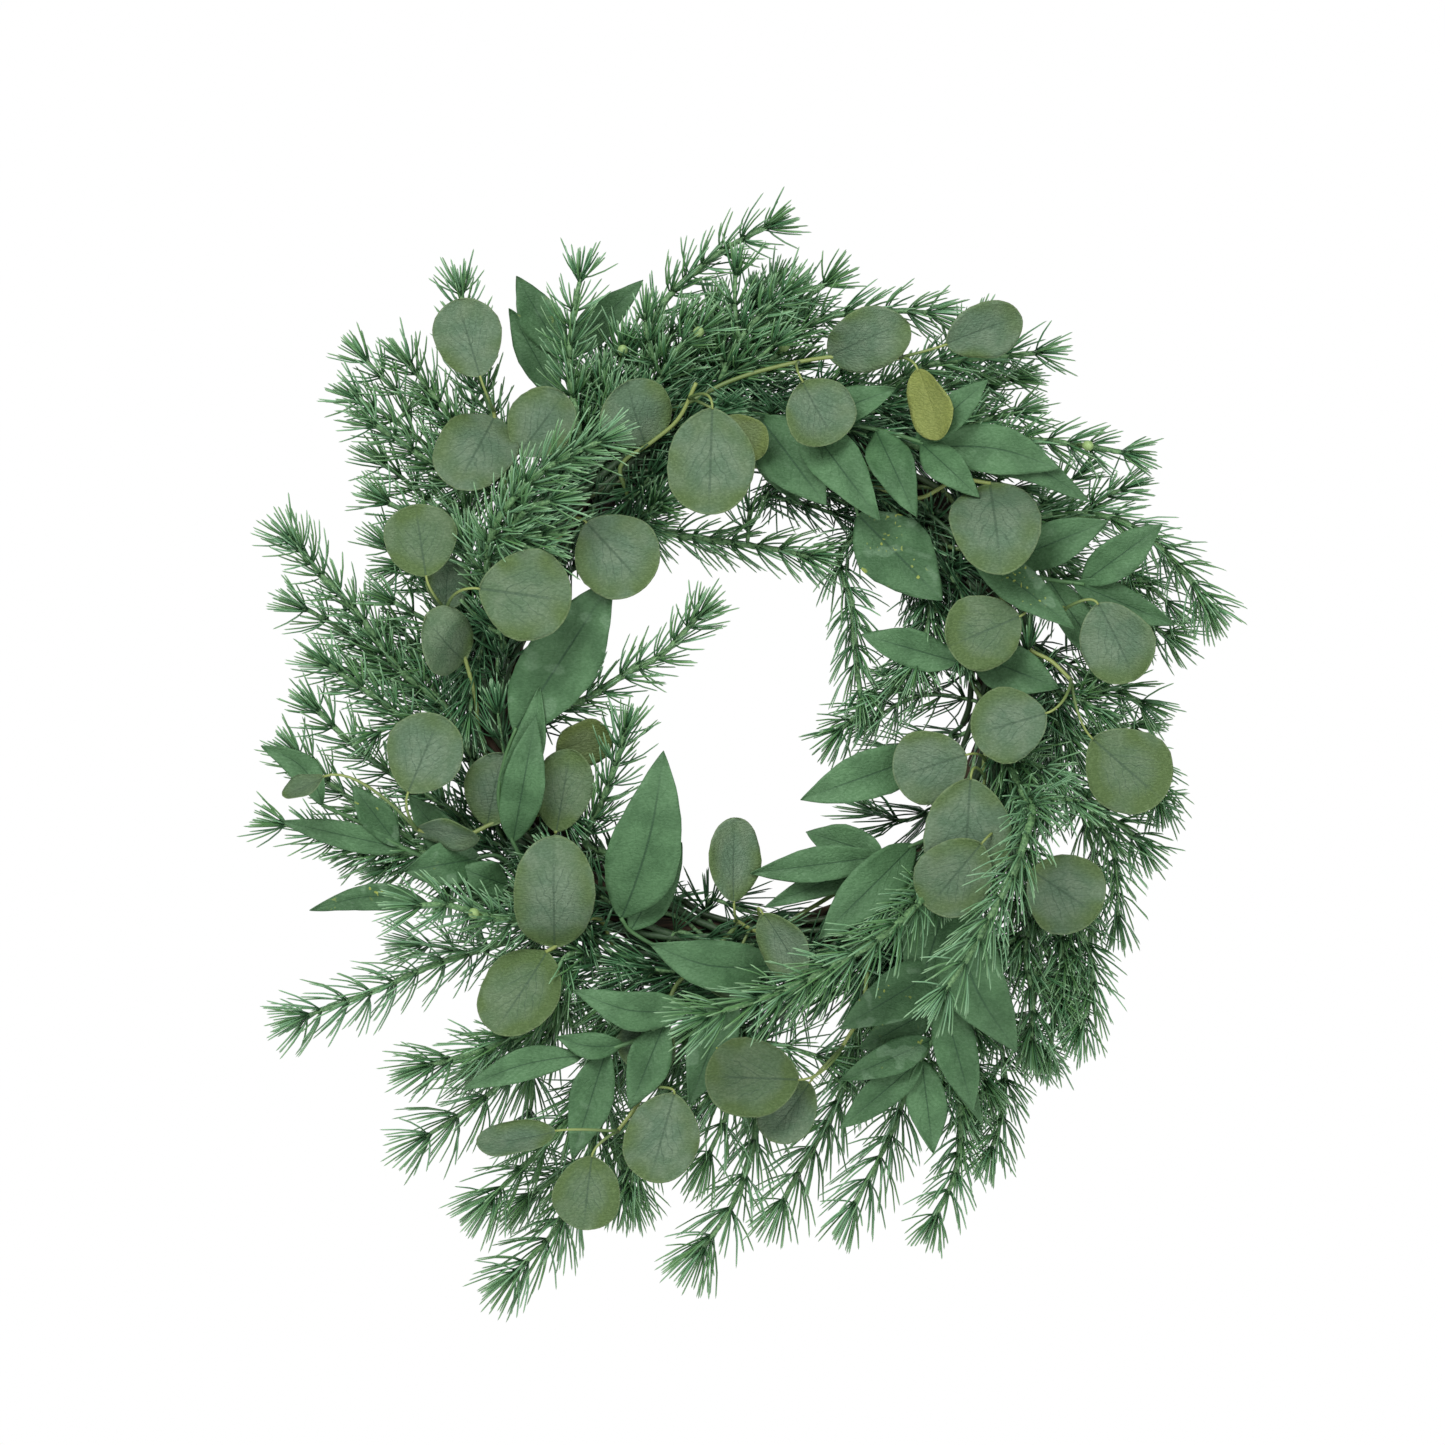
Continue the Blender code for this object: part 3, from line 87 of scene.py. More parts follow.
# %% The pine sprays
PINE = [
    Spray("pine_top_left", [
        [(-128, 112, 14), (-142, 150, 14), (-155, 190, 16), (-162, 226, 20)],
        [(-152, 132, 6), (-174, 162, 6), (-193, 186, 8)],
        [(-162, 124, -2), (-196, 150, -2), (-221, 165, 2)]]),
    Spray("pine_left_upper", [
        [(-160, 108, 6), (-190, 136, 8), (-213, 151, 10)],
        [(-170, 100, -4), (-190, 116, -6), (-207, 130, -4)],
        [(-170, 84, 4), (-188, 98, 6), (-206, 108, 8)]]),
    Spray("pine_left", [
        [(-165, 50, 2), (-185, 66, 4), (-203, 83, 6)],
        [(-172, 34, 6), (-188, 44, 8), (-203, 52, 10)],
        [(-166, 14, -6), (-183, 24, -6), (-197, 35, -2)]]),
    Spray("pine_far_left", [
        [(-170, -10, 2), (-196, 12, 4), (-218, 42, 8), (-240, 66, 12), (-258, 87, 16)],
        [(-186, -6, -8), (-210, 20, -8), (-232, 37, -4), (-252, 48, 0)],
        [(-186, -18, 8), (-208, -4, 14), (-238, 17, 20)]]),
    Spray("pine_lower_left", [
        [(-168, -66, 0), (-190, -52, 2), (-209, -40, 6), (-227, -25, 10), (-244, -8, 14)],
        [(-180, -76, -10), (-208, -68, -10), (-232, -54, -6), (-255, -33, 0)],
        [(-170, -88, 4), (-200, -90, 8), (-232, -82, 14), (-263, -73, 20)],
        [(-164, -92, -4), (-184, -95, -6), (-204, -98, -4)]]),
    Spray("pine_left_front", [
        [(-122, -128, 22), (-146, -125, 38), (-170, -118, 50), (-187, -119, 56)],
        [(-124, -136, 4), (-150, -144, 6), (-180, -154, 8), (-214, -169, 10), (-251, -182, 14)]]),
    Spray("pine_bottom_left", [
        [(-94, -152, 8), (-114, -180, 12), (-140, -196, 14), (-180, -209, 20)],
        [(-104, -180, -2), (-126, -208, -6), (-150, -228, -6), (-183, -250, -2)],
        [(-100, -146, 22), (-110, -158, 28)]]),
    Spray("pine_bottom_fork", [
        [(-68, -175, 0), (-84, -215, 2), (-108, -247, 6), (-146, -284, 10)],
        [(-82, -232, -6), (-94, -268, -8), (-108, -300, -6), (-133, -327, 0)]]),
    Spray("pine_bottom", [
        [(-2, -180, 6), (4, -220, 8), (2, -252, 10), (-9, -285, 12), (-28, -313, 16)],
        [(-22, -180, -4), (-46, -215, -6), (-62, -252, -4), (-67, -280, 0)],
        [(-10, -205, 16), (-13, -235, 20), (-24, -260, 24)]]),
    Spray("pine_bottom_right", [
        [(66, -165, 0), (58, -205, 2), (46, -236, 4), (32, -260, 6), (17, -287, 10)],
        [(80, -178, -6), (89, -212, -6), (82, -240, -4), (71, -264, 0), (57, -289, 4)]]),
    Spray("pine_lower_right", [
        [(104, -160, 0), (112, -200, 2), (118, -238, 4), (115, -268, 8), (103, -295, 12)],
        [(122, -158, -6), (139, -192, -8), (143, -222, -6), (140, -242, -2), (134, -258, 2)]]),
    Spray("pine_right_hanging", [
        [(150, -102, -2), (166, -142, -2), (171, -175, 2), (167, -203, 6)],
        [(170, -112, 4), (188, -140, 8), (191, -166, 12), (184, -190, 16)],
        [(154, -145, 8), (158, -172, 12), (157, -198, 16)]]),
    Spray("pine_right", [
        [(176, -22, -2), (204, -28, -4), (226, -44, -2), (229, -62, 2)],
        [(176, -44, -8), (196, -66, -6), (211, -77, 0), (221, -88, 6)],
        [(178, -6, 4), (202, 2, 8), (221, -8, 12)]]),
    Spray("pine_right_upper", [
        [(140, 99, 0), (172, 99, 0), (204, 97, 4), (229, 81, 8), (247, 61, 12), (257, 46, 16)],
        [(160, 78, -6), (192, 54, -8), (215, 42, -6), (236, 31, 0)]]),
    Spray("pine_top_right", [
        [(112, 133, 2), (148, 141, 6), (184, 138, 10), (212, 133, 14)],
        [(112, 146, -6), (134, 153, -6), (152, 157, -2)]]),
    Spray("pine_top_outer", [
        [(70, 168, 0), (100, 183, 2), (135, 187, 6), (163, 190, 10)],
        [(84, 160, -8), (115, 172, -8), (150, 176, -4)]]),
    Spray("pine_top", [
        [(6, 182, 2), (36, 207, 4), (70, 213, 6), (103, 212, 10)],
        [(0, 190, -8), (20, 212, -8), (45, 230, -4)],
        [(-16, 176, 8), (-2, 202, 14), (22, 225, 18)]]),
    Spray("pine_top_arc", [
        [(-62, 168, -2), (-58, 196, 2), (-48, 218, 4), (-30, 236, 6), (-10, 250, 10), (12, 261, 14)],
        [(-54, 168, 10), (-42, 190, 16), (-24, 204, 20)],
        [(-46, 172, -8), (-22, 198, -10), (2, 217, -6)]]),
    Spray("pine_top_tuft", [
        [(-96, 142, 12), (-101, 178, 18), (-99, 208, 22), (-94, 234, 24)],
        [(-84, 152, 4), (-74, 178, 2), (-70, 197, 4)]]),
    Spray("pine_left_face", [
        [(-146, 62, 38), (-140, 94, 70), (-117, 120, 86), (-96, 132, 94), (-80, 139, 98)],
        [(-136, 86, 66), (-123, 101, 78), (-107, 106, 84)]]),
    Spray("pine_inner_left", [
        [(-112, -12, 20), (-92, -4, 28), (-66, 12, 36), (-49, 21, 42), (-27, 44, 50)]]),
    Spray("pine_inner_low", [
        [(-92, -84, 18), (-83, -62, 24), (-74, -38, 30), (-69, -20, 34)]]),
    Spray("pine_inner_top", [
        [(-72, 94, 8), (-48, 89, 10), (-15, 84, 12), (12, 80, 14), (36, 75, 18)],
        [(-60, 94, 18), (-50, 103, 24), (-40, 110, 28)]]),
    Spray("pine_inner_right", [
        [(66, 95, 0), (50, 76, 4), (57, 48, 8), (59, 20, 12), (62, -4, 16)],
        [(98, 62, 10), (99, 34, 20), (92, 12, 26)],
        [(96, 56, 2), (92, 26, 2), (80, 2, 6), (62, -11, 12), (48, -24, 16)]]),
    Spray("pine_front_right", [
        [(150, -54, 46), (156, -66, 74), (152, -80, 90), (146, -98, 98), (134, -120, 104),
             (121, -144, 108), (106, -166, 112)]]),
    Spray("pine_front_bottom", [
        [(104, -104, 40), (94, -116, 72), (78, -131, 88), (55, -146, 96), (25, -162, 100),
             (0, -171, 104), (-26, -179, 108)]]),
]

print("pine sprays:", len(PINE), "branches:", sum(len(spray.stems) for spray in PINE))

# %% [markdown]
# The round leaves are silver-dollar leaves. Their size is what the whole wreath's size was judged by:
# real ones are 40 to 55 mm across. Those seen edge-on are narrower here and rolled about their midrib.

# %% The round-leaf sprays
ROUND = [
    Spray("eucalyptus_top_left", [
        [(-133, 84, 22), (-136, 112, 27), (-140, 138, 31), (-143, 158, 35)]],
        [Leaf((-150, 175), (-163, 218), 38, 48), Leaf((-138, 154), (-164, 113), 46, 62, 15),
         Leaf((-129, 132), (-104, 166), 40, 54, -20)]),
    Spray("eucalyptus_left", [
        [(-151, -22, 24), (-153, -4, 30), (-160, 22, 34), (-169, 46, 38)]],
        [Leaf((-180, 64), (-186, 104), 41, 52), Leaf((-166, 46), (-167, 73), 28, 42, 30),
         Leaf((-150, 57), (-99, 50), 51, 78), Leaf((-153, 19), (-180, 42), 37, 60, 25)]),
    Spray("eucalyptus_inner_left", [
        [(-116, 66, 24), (-109, 82, 30), (-102, 92, 34)]],
        [Leaf((-91, 94), (-58, 58), 48, 62)]),
    Spray("eucalyptus_top", [
        [(-72, 126, 26), (-55, 139, 30), (-40, 152, 34), (-30, 172, 38)]],
        [Leaf((-62, 144), (-68, 173), 42, 46, 15), Leaf((-21, 157), (-23, 98), 49, 72),
         Leaf((-14, 152), (7, 131), 26, 50, 20)]),
    Spray("eucalyptus_top_right", [
        [(-42, 158, 16), (-12, 173, 20), (18, 182, 24), (50, 187, 26), (84, 186, 30)]],
        [Leaf((29, 172), (48, 139), 42, 60, -15), Leaf((44, 186), (88, 205), 37, 50, 20),
         Leaf((109, 193), (151, 208), 34, 46, 25), Leaf((93, 179), (105, 140), 30, 50, 40)]),
    Spray("eucalyptus_right_upper", [
        [(92, 108, 28), (115, 118, 32), (134, 116, 36)]],
        [Leaf((135, 112), (139, 65), 50, 78)]),
    Spray("eucalyptus_right", [
        [(130, 78, 26), (150, 62, 30), (166, 50, 34), (176, 46, 38)]],
        [Leaf((150, 42), (110, 25), 43, 44), Leaf((193, 49), (213, 6), 43, 50, 20)]),
    Spray("eucalyptus_right_fork", [
        [(154, 26, 24), (168, 17, 30), (179, 6, 36)]],
        [Leaf((164, -12), (123, -24), 42, 62), Leaf((190, -26), (229, -60), 48, 48)]),
    Spray("eucalyptus_right_lower", [
        [(138, -18, 24), (131, -34, 30), (131, -60, 30), (138, -86, 32), (148, -96, 34)]],
        [Leaf((120, -35), (80, -48), 42, 52), Leaf((122, -48), (118, -107), 49, 68),
         Leaf((128, -84), (98, -120), 42, 57), Leaf((156, -99), (193, -124), 46, 50)]),
    Spray("eucalyptus_bottom", [
        [(66, -150, 26), (62, -178, 30), (51, -198, 36)]],
        [Leaf((27, -215), (-25, -213), 45, 64), Leaf((33, -217), (9, -248), 34, 48, 20)]),
    Spray("eucalyptus_bottom_left", [
        [(-42, -165, 24), (-50, -195, 28), (-60, -225, 32), (-74, -245, 36)]],
        [Leaf((-42, -223), (-56, -272), 42, 50), Leaf((-88, -258), (-93, -299), 38, 46),
         Leaf((-108, -244), (-152, -251), 26, 44, 45), Leaf((-52, -183), (-67, -209), 34, 34)]),
    Spray("eucalyptus_lower_left", [
        [(-86, -126, 26), (-100, -137, 30), (-114, -145, 34)]],
        [Leaf((-112, -136), (-109, -80), 46, 62), Leaf((-116, -149), (-143, -189), 44, 48, 15)]),
    Spray("eucalyptus_left_fork", [
        [(-140, -72, 26), (-165, -82, 28), (-187, -76, 34)]],
        [Leaf((-190, -56), (-172, -13), 43, 54), Leaf((-237, -47), (-260, -57), 18, 50, 50),
         Leaf((-186, -78), (-151, -82), 24, 44, 50), Leaf((-150, -68), (-138, -34), 34, 36),
         Leaf((-108, -78), (-100, -32), 32, 32), Leaf((-108, -34), (-78, -24), 30, 26, 30)]),
    Spray("eucalyptus_inner_bottom", [
        [(8, -134, 28), (-9, -127, 32)]],
        [Leaf((-9, -117), (-8, -70), 31, 42, 20), Leaf((7, -123), (28, -158), 30, 66, 30),
         Leaf((-7, -146), (-18, -169), 26, 36)]),
]

print("round leaves:", sum(len(spray.leaves) for spray in ROUND))

# %% [markdown]
# The lance leaves are long and pointed, and lie closer to the ring. They spring from the stem itself, so
# a leaf's base is a place on its stem, and its bow says how it curves to one side.

# %% The lance-leaf sprays
LANCE = [
    Spray("lance_top_left", [
        [(-104, 130, 0), (-108, 160, -4), (-105, 190, -6)]],
        [Leaf((-105, 190), (-131, 233), 23, 0), Leaf((-107, 165), (-135, 215), 20, -4),
         Leaf((-104, 188), (-60, 231), 20, -2)]),
    Spray("lance_left", [
        [(-120, -100, 26), (-133, -82, 32), (-140, -60, 36), (-136, -36, 40), (-130, -20, 44)]],
        [Leaf((-132, -84), (-119, -14), 24, 58), Leaf((-141, -56), (-117, 3), 18, 50, 0, 6),
         Leaf((-131, -22), (-76, 63), 42, 56)]),
    Spray("lance_inner_left", [
        [(-66, -134, 26), (-72, -126, 32)]],
        [Leaf((-72, -126), (-48, -33), 40, 62, 0, 4), Leaf((-67, -133), (-38, -84), 24, 34)]),
    Spray("lance_bottom", [
        [(14, -152, 28), (-12, -168, 32), (-40, -179, 36), (-64, -194, 36), (-94, -203, 34)]],
        [Leaf((14, -152), (-56, -140), 29, 58, 0, -6), Leaf((-33, -176), (-98, -166), 22, 52, 0, -6),
         Leaf((-48, -184), (-67, -232), 24, 46), Leaf((-80, -199), (-99, -260), 24, 42),
         Leaf((-93, -203), (-160, -221), 18, 42, 0, 4), Leaf((-70, -196), (-108, -192), 15, 44, 0, -3),
         Leaf((-10, -167), (-34, -230), 26, 42)]),
    Spray("lance_inner_right", [
        [(110, -74, 26), (94, -84, 32), (72, -92, 34)]],
        [Leaf((92, -85), (38, -137), 28, 58), Leaf((72, -92), (0, -101), 20, 46),
         Leaf((74, -91), (31, -78), 22, 32), Leaf((80, -89), (8, -120), 17, 36)]),
    Spray("lance_right_lower", [
        [(113, -100, 26), (117, -126, 30), (107, -154, 34)]],
        [Leaf((116, -116), (148, -200), 38, 50, 0, 8), Leaf((114, -104), (90, -178), 36, 44),
         Leaf((107, -154), (50, -187), 28, 54)]),
    Spray("lance_bottom_right", [
        [(102, -142, 22), (107, -166, 26), (103, -190, 28), (95, -206, 30)]],
        [Leaf((107, -170), (124, -233), 25, 44), Leaf((104, -186), (129, -240), 14, 36),
         Leaf((101, -194), (50, -216), 19, 46), Leaf((96, -204), (50, -243), 20, 40),
         Leaf((95, -206), (102, -257), 22, 36), Leaf((106, -174), (61, -199), 22, 34)]),
    Spray("lance_far_left", [
        [(-140, -92, 16), (-165, -96, 18), (-192, -88, 20), (-216, -74, 20), (-239, -63, 20)],
        [(-130, -106, 14), (-152, -114, 16), (-180, -119, 18)]],
        [Leaf((-239, -63), (-273, -30), 16, 22, 0, 7), Leaf((-192, -88), (-262, -72), 16, 26),
         Leaf((-196, -86), (-222, -52), 18, 28), Leaf((-150, -94), (-193, -100), 25, 38),
         Leaf((-160, -95), (-190, -58), 20, 34), Leaf((-180, -119), (-246, -122), 15, 22, 0, 6),
         Leaf((-136, -108), (-162, -98), 20, 30)]),
    Spray("lance_top", [
        [(0, 152, 26), (34, 152, 30), (66, 147, 32), (92, 140, 34), (118, 130, 36)],
        [(44, 132, 32), (56, 112, 32), (60, 98, 34)]],
        [Leaf((36, 152), (81, 169), 20, 44), Leaf((6, 152), (42, 104), 34, 48),
         Leaf((30, 152), (72, 95), 28, 58), Leaf((70, 146), (92, 97), 24, 60),
         Leaf((95, 139), (127, 108), 20, 56), Leaf((93, 140), (132, 173), 20, 66),
         Leaf((102, 136), (172, 124), 28, 46, 0, -5), Leaf((116, 131), (189, 106), 19, 40, 0, -8),
         Leaf((2, 152), (27, 105), 22, 34), Leaf((60, 98), (107, 51), 40, 42)]),
    Spray("lance_right_upper", [
        [(98, 100, 24), (118, 84, 30), (140, 70, 32), (165, 63, 34), (186, 60, 36)]],
        [Leaf((138, 71), (199, 95), 26, 48), Leaf((186, 60), (229, 93), 23, 50),
         Leaf((124, 84), (180, 35), 23, 54), Leaf((166, 63), (201, 12), 20, 40),
         Leaf((180, 61), (236, 37), 19, 44)]),
    Spray("lance_inner_mid", [
        [(112, -30, 26), (98, -35, 32)]],
        [Leaf((98, -35), (28, -60), 28, 48)]),
    Spray("lance_right_inner", [
        [(122, 22, 24), (115, 16, 28)]],
        [Leaf((115, 16), (62, 32), 22, 28), Leaf((121, 22), (172, 2), 28, 34)]),
]

print("lance leaves:", sum(len(spray.leaves) for spray in LANCE))

# %% [markdown]
# ## Lines through the wreath
# Each stem is rooted in a groove between the vines, climbs out, goes round the bundle and then follows
# its table. Bezier pieces join the points, so the stem bends as a springy wired stem does. Forward is
# towards the viewer.


# %% Places and smooth lines
FORWARD = Vector((0, -1, 0))
CURVE_STEPS = 24


def place(x, z, depth):
    """A table's place as a point of the part."""
    return Vector((x * MM, -depth * MM, z * MM - HOOK_HEIGHT))


def bundle_point(theta, radius, phi):
    """A point by the ring's bundle: theta goes round the ring, and phi round the bundle."""
    spoke = RING_RADIUS + radius * math.cos(phi)
    return Vector((spoke * math.cos(theta), -radius * math.sin(phi), spoke * math.sin(theta) - HOOK_HEIGHT))


def strand_phase(strand, theta):
    """How far a strand has turned round the bundle, at an angle round the ring."""
    return TAU * strand / STRAND_COUNT + STRAND_TURNS * theta


def respaced(fine, step):
    """The same line with points a step apart."""
    lengths = np.concatenate([[0.0], np.cumsum([(b - a).length for a, b in zip(fine, fine[1:])])])
    marks = np.linspace(0, lengths[-1], max(1, round(lengths[-1] / step)) + 1)
    rows = [np.interp(marks, lengths, [p[axis] for p in fine]) for axis in range(3)]
    return [Vector(p) for p in zip(*rows)]


def smooth(points, step, way=None):
    """Evenly spaced points on the smooth curve through the given points."""
    fine = [points[0]]
    last = len(points) - 1
    for i in range(last):
        start, end = points[i], points[i + 1]
        reach = (end - start).length / 3
        leave = way if way and i == 0 else (points[i + 1] - points[max(i - 1, 0)]).normalized()
        arrive = (points[min(i + 2, last)] - points[i]).normalized()
        fine += interpolate_bezier(start, start + leave * reach, end - arrive * reach, end, CURVE_STEPS)[1:]
    return respaced(fine, step)


def line_length(line):
    """The length of a line, in metres."""
    return sum((b - a).length for a, b in zip(line, line[1:]))


def point_along(line, distance):
    """The point at a distance along a line."""
    for a, b in zip(line, line[1:]):
        step = (b - a).length
        if distance <= step:
            return a.lerp(b, distance / step)
        distance -= step
    return line[-1]


# %% [markdown]
# A point near the ring is easier to think of by its angle round the ring, its distance from the
# bundle's middle and its turn round the bundle. A root lies in the groove between two strands. Where
# the stem has to reach the other side of the bundle, it goes round the outside by steps.


# %% Roots and climbs
STATIONS = 40
EXIT_RADIUS = 21 * MM
ROOT_SEAT = STRAND_RADIUS + STEM_RADIUS + 0.55 * MM
CLIMB_TURN = math.radians(38)


def bundle_place(point):
    """Where a point is: its angle round the ring, its distance from the bundle's middle, its phase."""
    spoke = math.hypot(point.x, point.z + HOOK_HEIGHT) - RING_RADIUS
    return math.atan2(point.z + HOOK_HEIGHT, point.x), math.hypot(spoke, point.y), math.atan2(-point.y, spoke)


def turn_between(start, end):
    """The shorter turn from one angle to another, from minus a half turn to a half turn."""
    return (end - start + math.pi) % TAU - math.pi


def root_points(station, groove):
    """A root lies one station long in its groove, and then climbs out."""
    half_gap = STRAND_OFFSET * math.sin(math.pi / STRAND_COUNT)
    middle = STRAND_OFFSET * math.cos(math.pi / STRAND_COUNT)
    depth = middle + math.sqrt(ROOT_SEAT ** 2 - half_gap ** 2)
    places = []
    for step, radius in ((2, depth), (1, depth), (0, EXIT_RADIUS)):
        theta = TAU * (station + step) / STATIONS
        places.append(bundle_point(theta, radius, strand_phase(groove + 0.5, theta)))
    return places


def round_the_bundle(start, end):
    """The points between two places by the bundle that lead round its outside."""
    (theta, radius, phi), (end_theta, end_radius, end_phi) = bundle_place(start), bundle_place(end)
    turn, sweep = turn_between(phi, end_phi), turn_between(theta, end_theta)
    count = int(abs(turn) / CLIMB_TURN)
    shares = [k / (count + 1) for k in range(1, count + 1)]
    return [bundle_point(theta + sweep * share, max(radius + (end_radius - radius) * share, EXIT_RADIUS),
                         phi + turn * share) for share in shares]


def bent(points, offset):
    """A table's points, moved towards the viewer by an offset in millimetres."""
    return [place(x, z, depth + offset) for x, z, depth in points]


print("a root lies %.1f mm from the strands' middles" % (ROOT_SEAT / MM))


# %% [markdown]
# The solids were bent clear of each other when they were made, so a stem may have taken another groove
# or lie a few millimetres deeper than its table says. Each way that it may have gone is tried here
# against the surface of its own solid, and the one that lies closest is the way it went. The offsets
# are in millimetres, and the shifts are in steps along the stem that a branch forks off.


# %% Finding the way a stem went
STEM_STEP = 3 * MM
EXIT_INDEX = 9
STATION_TRIES = 5
ROOT_OFFSETS = (0, 3, -3, 6, -6)
FORK_OFFSETS = ROOT_OFFSETS + (9, -9, 12, 15, 18, 21, 24)
FORK_SHIFTS = (0, 2, -1, 4)


def tree_of(node):
    """A search tree of a solid's surface."""
    mesh = nodes[node].data
    points = [vertex.co.copy() for vertex in mesh.vertices]
    return BVHTree.FromPolygons(points, [tuple(face.vertices) for face in mesh.polygons])


def farness(tree, points):
    """How far the points lie from a solid's surface, on average."""
    return sum(tree.find_nearest(point)[3] for point in points) / len(points)


def closest(tree, lines):
    """The line that lies closest to the solid's surface."""
    return min(lines, key=lambda line: farness(tree, line))


def rooted_ways(points):
    """Each way that a spray's first stem may go from its root in the ring."""
    theta = bundle_place(place(*points[0]))[0]
    wish = math.ceil(theta / TAU * STATIONS + 0.3)
    for station in range(wish, wish + STATION_TRIES):
        for groove in range(STRAND_COUNT):
            foot, bend, leaving = root_points(station, groove)
            way = (bend - foot).normalized()
            for offset in ROOT_OFFSETS:
                path = bent(points, offset)
                climb = [bend, leaving] + round_the_bundle(leaving, path[0])
                yield [foot] + smooth(climb + path, STEM_STEP, way)


def forked_ways(lines, points):
    """Each way that a branch may fork off the one nearest to it."""
    first = place(*points[0])
    away, at, parent = min(((spot - first).length, i, k) for k, line in enumerate(lines)
                           for i, spot in enumerate(line) if i > (2 if k else EXIT_INDEX))
    at -= round(1.2 * away / STEM_STEP)
    at = max(at, 2 if parent else EXIT_INDEX)
    for offset in FORK_OFFSETS:
        for shift in FORK_SHIFTS:
            start = lines[parent][min(at + shift, len(lines[parent]) - 4)]
            yield smooth([start] + bent(points, offset), STEM_STEP)


def stem_lines(spray):
    """The lines of a spray's stems: the rooted one, and then each that forks off."""
    tree = trees[spray.name]
    lines = [closest(tree, rooted_ways(spray.stems[0]))]
    for points in spray.stems[1:]:
        lines.append(closest(tree, forked_ways(lines, points)))
    return lines


# %% [markdown]
# All 52 sprays are found in this way. Distances below the stem's radius show that the lines lie in the
# solids. One point in some 4,300, near the start of a fork, lies further off, by 3 mm.

# %% Try it on every spray
trees = {spray.name: tree_of(spray.name) for spray in PINE + ROUND + LANCE}
stems = {spray.name: stem_lines(spray) for spray in PINE + ROUND + LANCE}
gaps = [trees[name].find_nearest(point)[3] / MM
        for name, lines in stems.items() for line in lines for point in line]
print("stem middles lie %.2f mm from the solids' surface, at most %.2f" % (sum(gaps) / len(gaps), max(gaps)))

# %% [markdown]
# ## Collecting a piece
# One spray has thousands of faces in needles, stems and blades. They are worked out as rows of points
# in numpy and joined to one mesh, which is far quicker than an object for each. Two values are kept at
# every point for the finishes to read: where it is on its own needle or leaf, and a chance number of
# that needle or leaf, so that no two have quite the same green.


# %% The piece maker
class Piece:
    """One visible piece, which takes the place of one solid."""

    def __init__(self, node):
        self.node = node
        self.points, self.places, self.owns = [], [], []
        self.faces, self.finishes = [], []
        self.count = 0

    def add(self, points, faces, finish, places, own):
        """Adds points with faces between them. The finish is the number of its material."""
        self.points.append(points)
        self.places.append(places)
        self.owns.append(np.broadcast_to(own, len(points)))
        self.faces += [[i + self.count for i in face] for face in faces]
        self.finishes += [finish] * len(faces)
        self.count += len(points)

    def build(self, finishes):
        """Makes the mesh and its object, and says which solid it replaces."""
        mesh = bpy.data.meshes.new(self.node + "_look")
        mesh.from_pydata(np.vstack(self.points).tolist(), [], self.faces)
        mesh.polygons.foreach_set("material_index", self.finishes)
        mesh.polygons.foreach_set("use_smooth", [True] * len(self.faces))
        spot = mesh.attributes.new("spot", "FLOAT_VECTOR", "POINT")
        spot.data.foreach_set("vector", np.vstack(self.places).ravel())
        own = mesh.attributes.new("own", "FLOAT", "POINT")
        own.data.foreach_set("value", np.concatenate(self.owns))
        for finish in finishes:
            mesh.materials.append(finish)
        mesh.update()
        thing = bpy.data.objects.new(self.node + "_look", mesh)
        bpy.context.scene.collection.objects.link(thing)
        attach(thing, "root")
        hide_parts(self.node)
        return thing


# %% [markdown]
# A stem is a ring of points carried along its line. The ring is turned as little as it can be from one
# point to the next, so that the stem doesn't twist, and its ends are closed.


# %% Stems
def ring_frames(line):
    """At each point of a line, two directions across it that turn as little as they can."""
    ways = [(line[min(i + 1, len(line) - 1)] - line[max(i - 1, 0)]).normalized() for i in range(len(line))]
    side = ways[0].orthogonal().normalized()
    frames = []
    for way in ways:
        side = (side - way * side.dot(way)).normalized()
        frames.append((side, way.cross(side)))
    return frames


def add_tube(piece, line, radii, sides, finish, relief=None, own=0.0):
    """A stem along a line. A relief gives the share by which the radius grows at (ring, side)."""
    points, places = [], []
    frames = ring_frames(line)
    for i, (middle, (side, across)) in enumerate(zip(line, frames)):
        for k in range(sides):
            turn = TAU * k / sides
            radius = radii[i] * (1 + (relief(i, k) if relief else 0))
            points.append(middle + (side * math.cos(turn) + across * math.sin(turn)) * radius)
            places.append((i / (len(line) - 1), k / sides, 0))
    faces = []
    for i in range(len(line) - 1):
        for k in range(sides):
            a, b = i * sides + k, i * sides + (k + 1) % sides
            faces.append((a, b, b + sides, a + sides))
    faces.append(tuple(range(sides))[::-1])
    faces.append(tuple((len(line) - 1) * sides + k for k in range(sides)))
    piece.add(np.array(points), faces, finish, np.array(places), own)


def taper(start, end, count):
    """Radii that go evenly from start to end."""
    return [start + (end - start) * (i / (count - 1)) for i in range(count)]


# %% [markdown]
# ## Finishes
# A finish is a material made of shader nodes. Writing `0.4 + 0.2 * grain` is easier to read than three
# linked boxes, so a small class stands for a socket, and its operators add the Math nodes. Any other
# node comes from one method, which takes the node's type, its settings and its inputs.


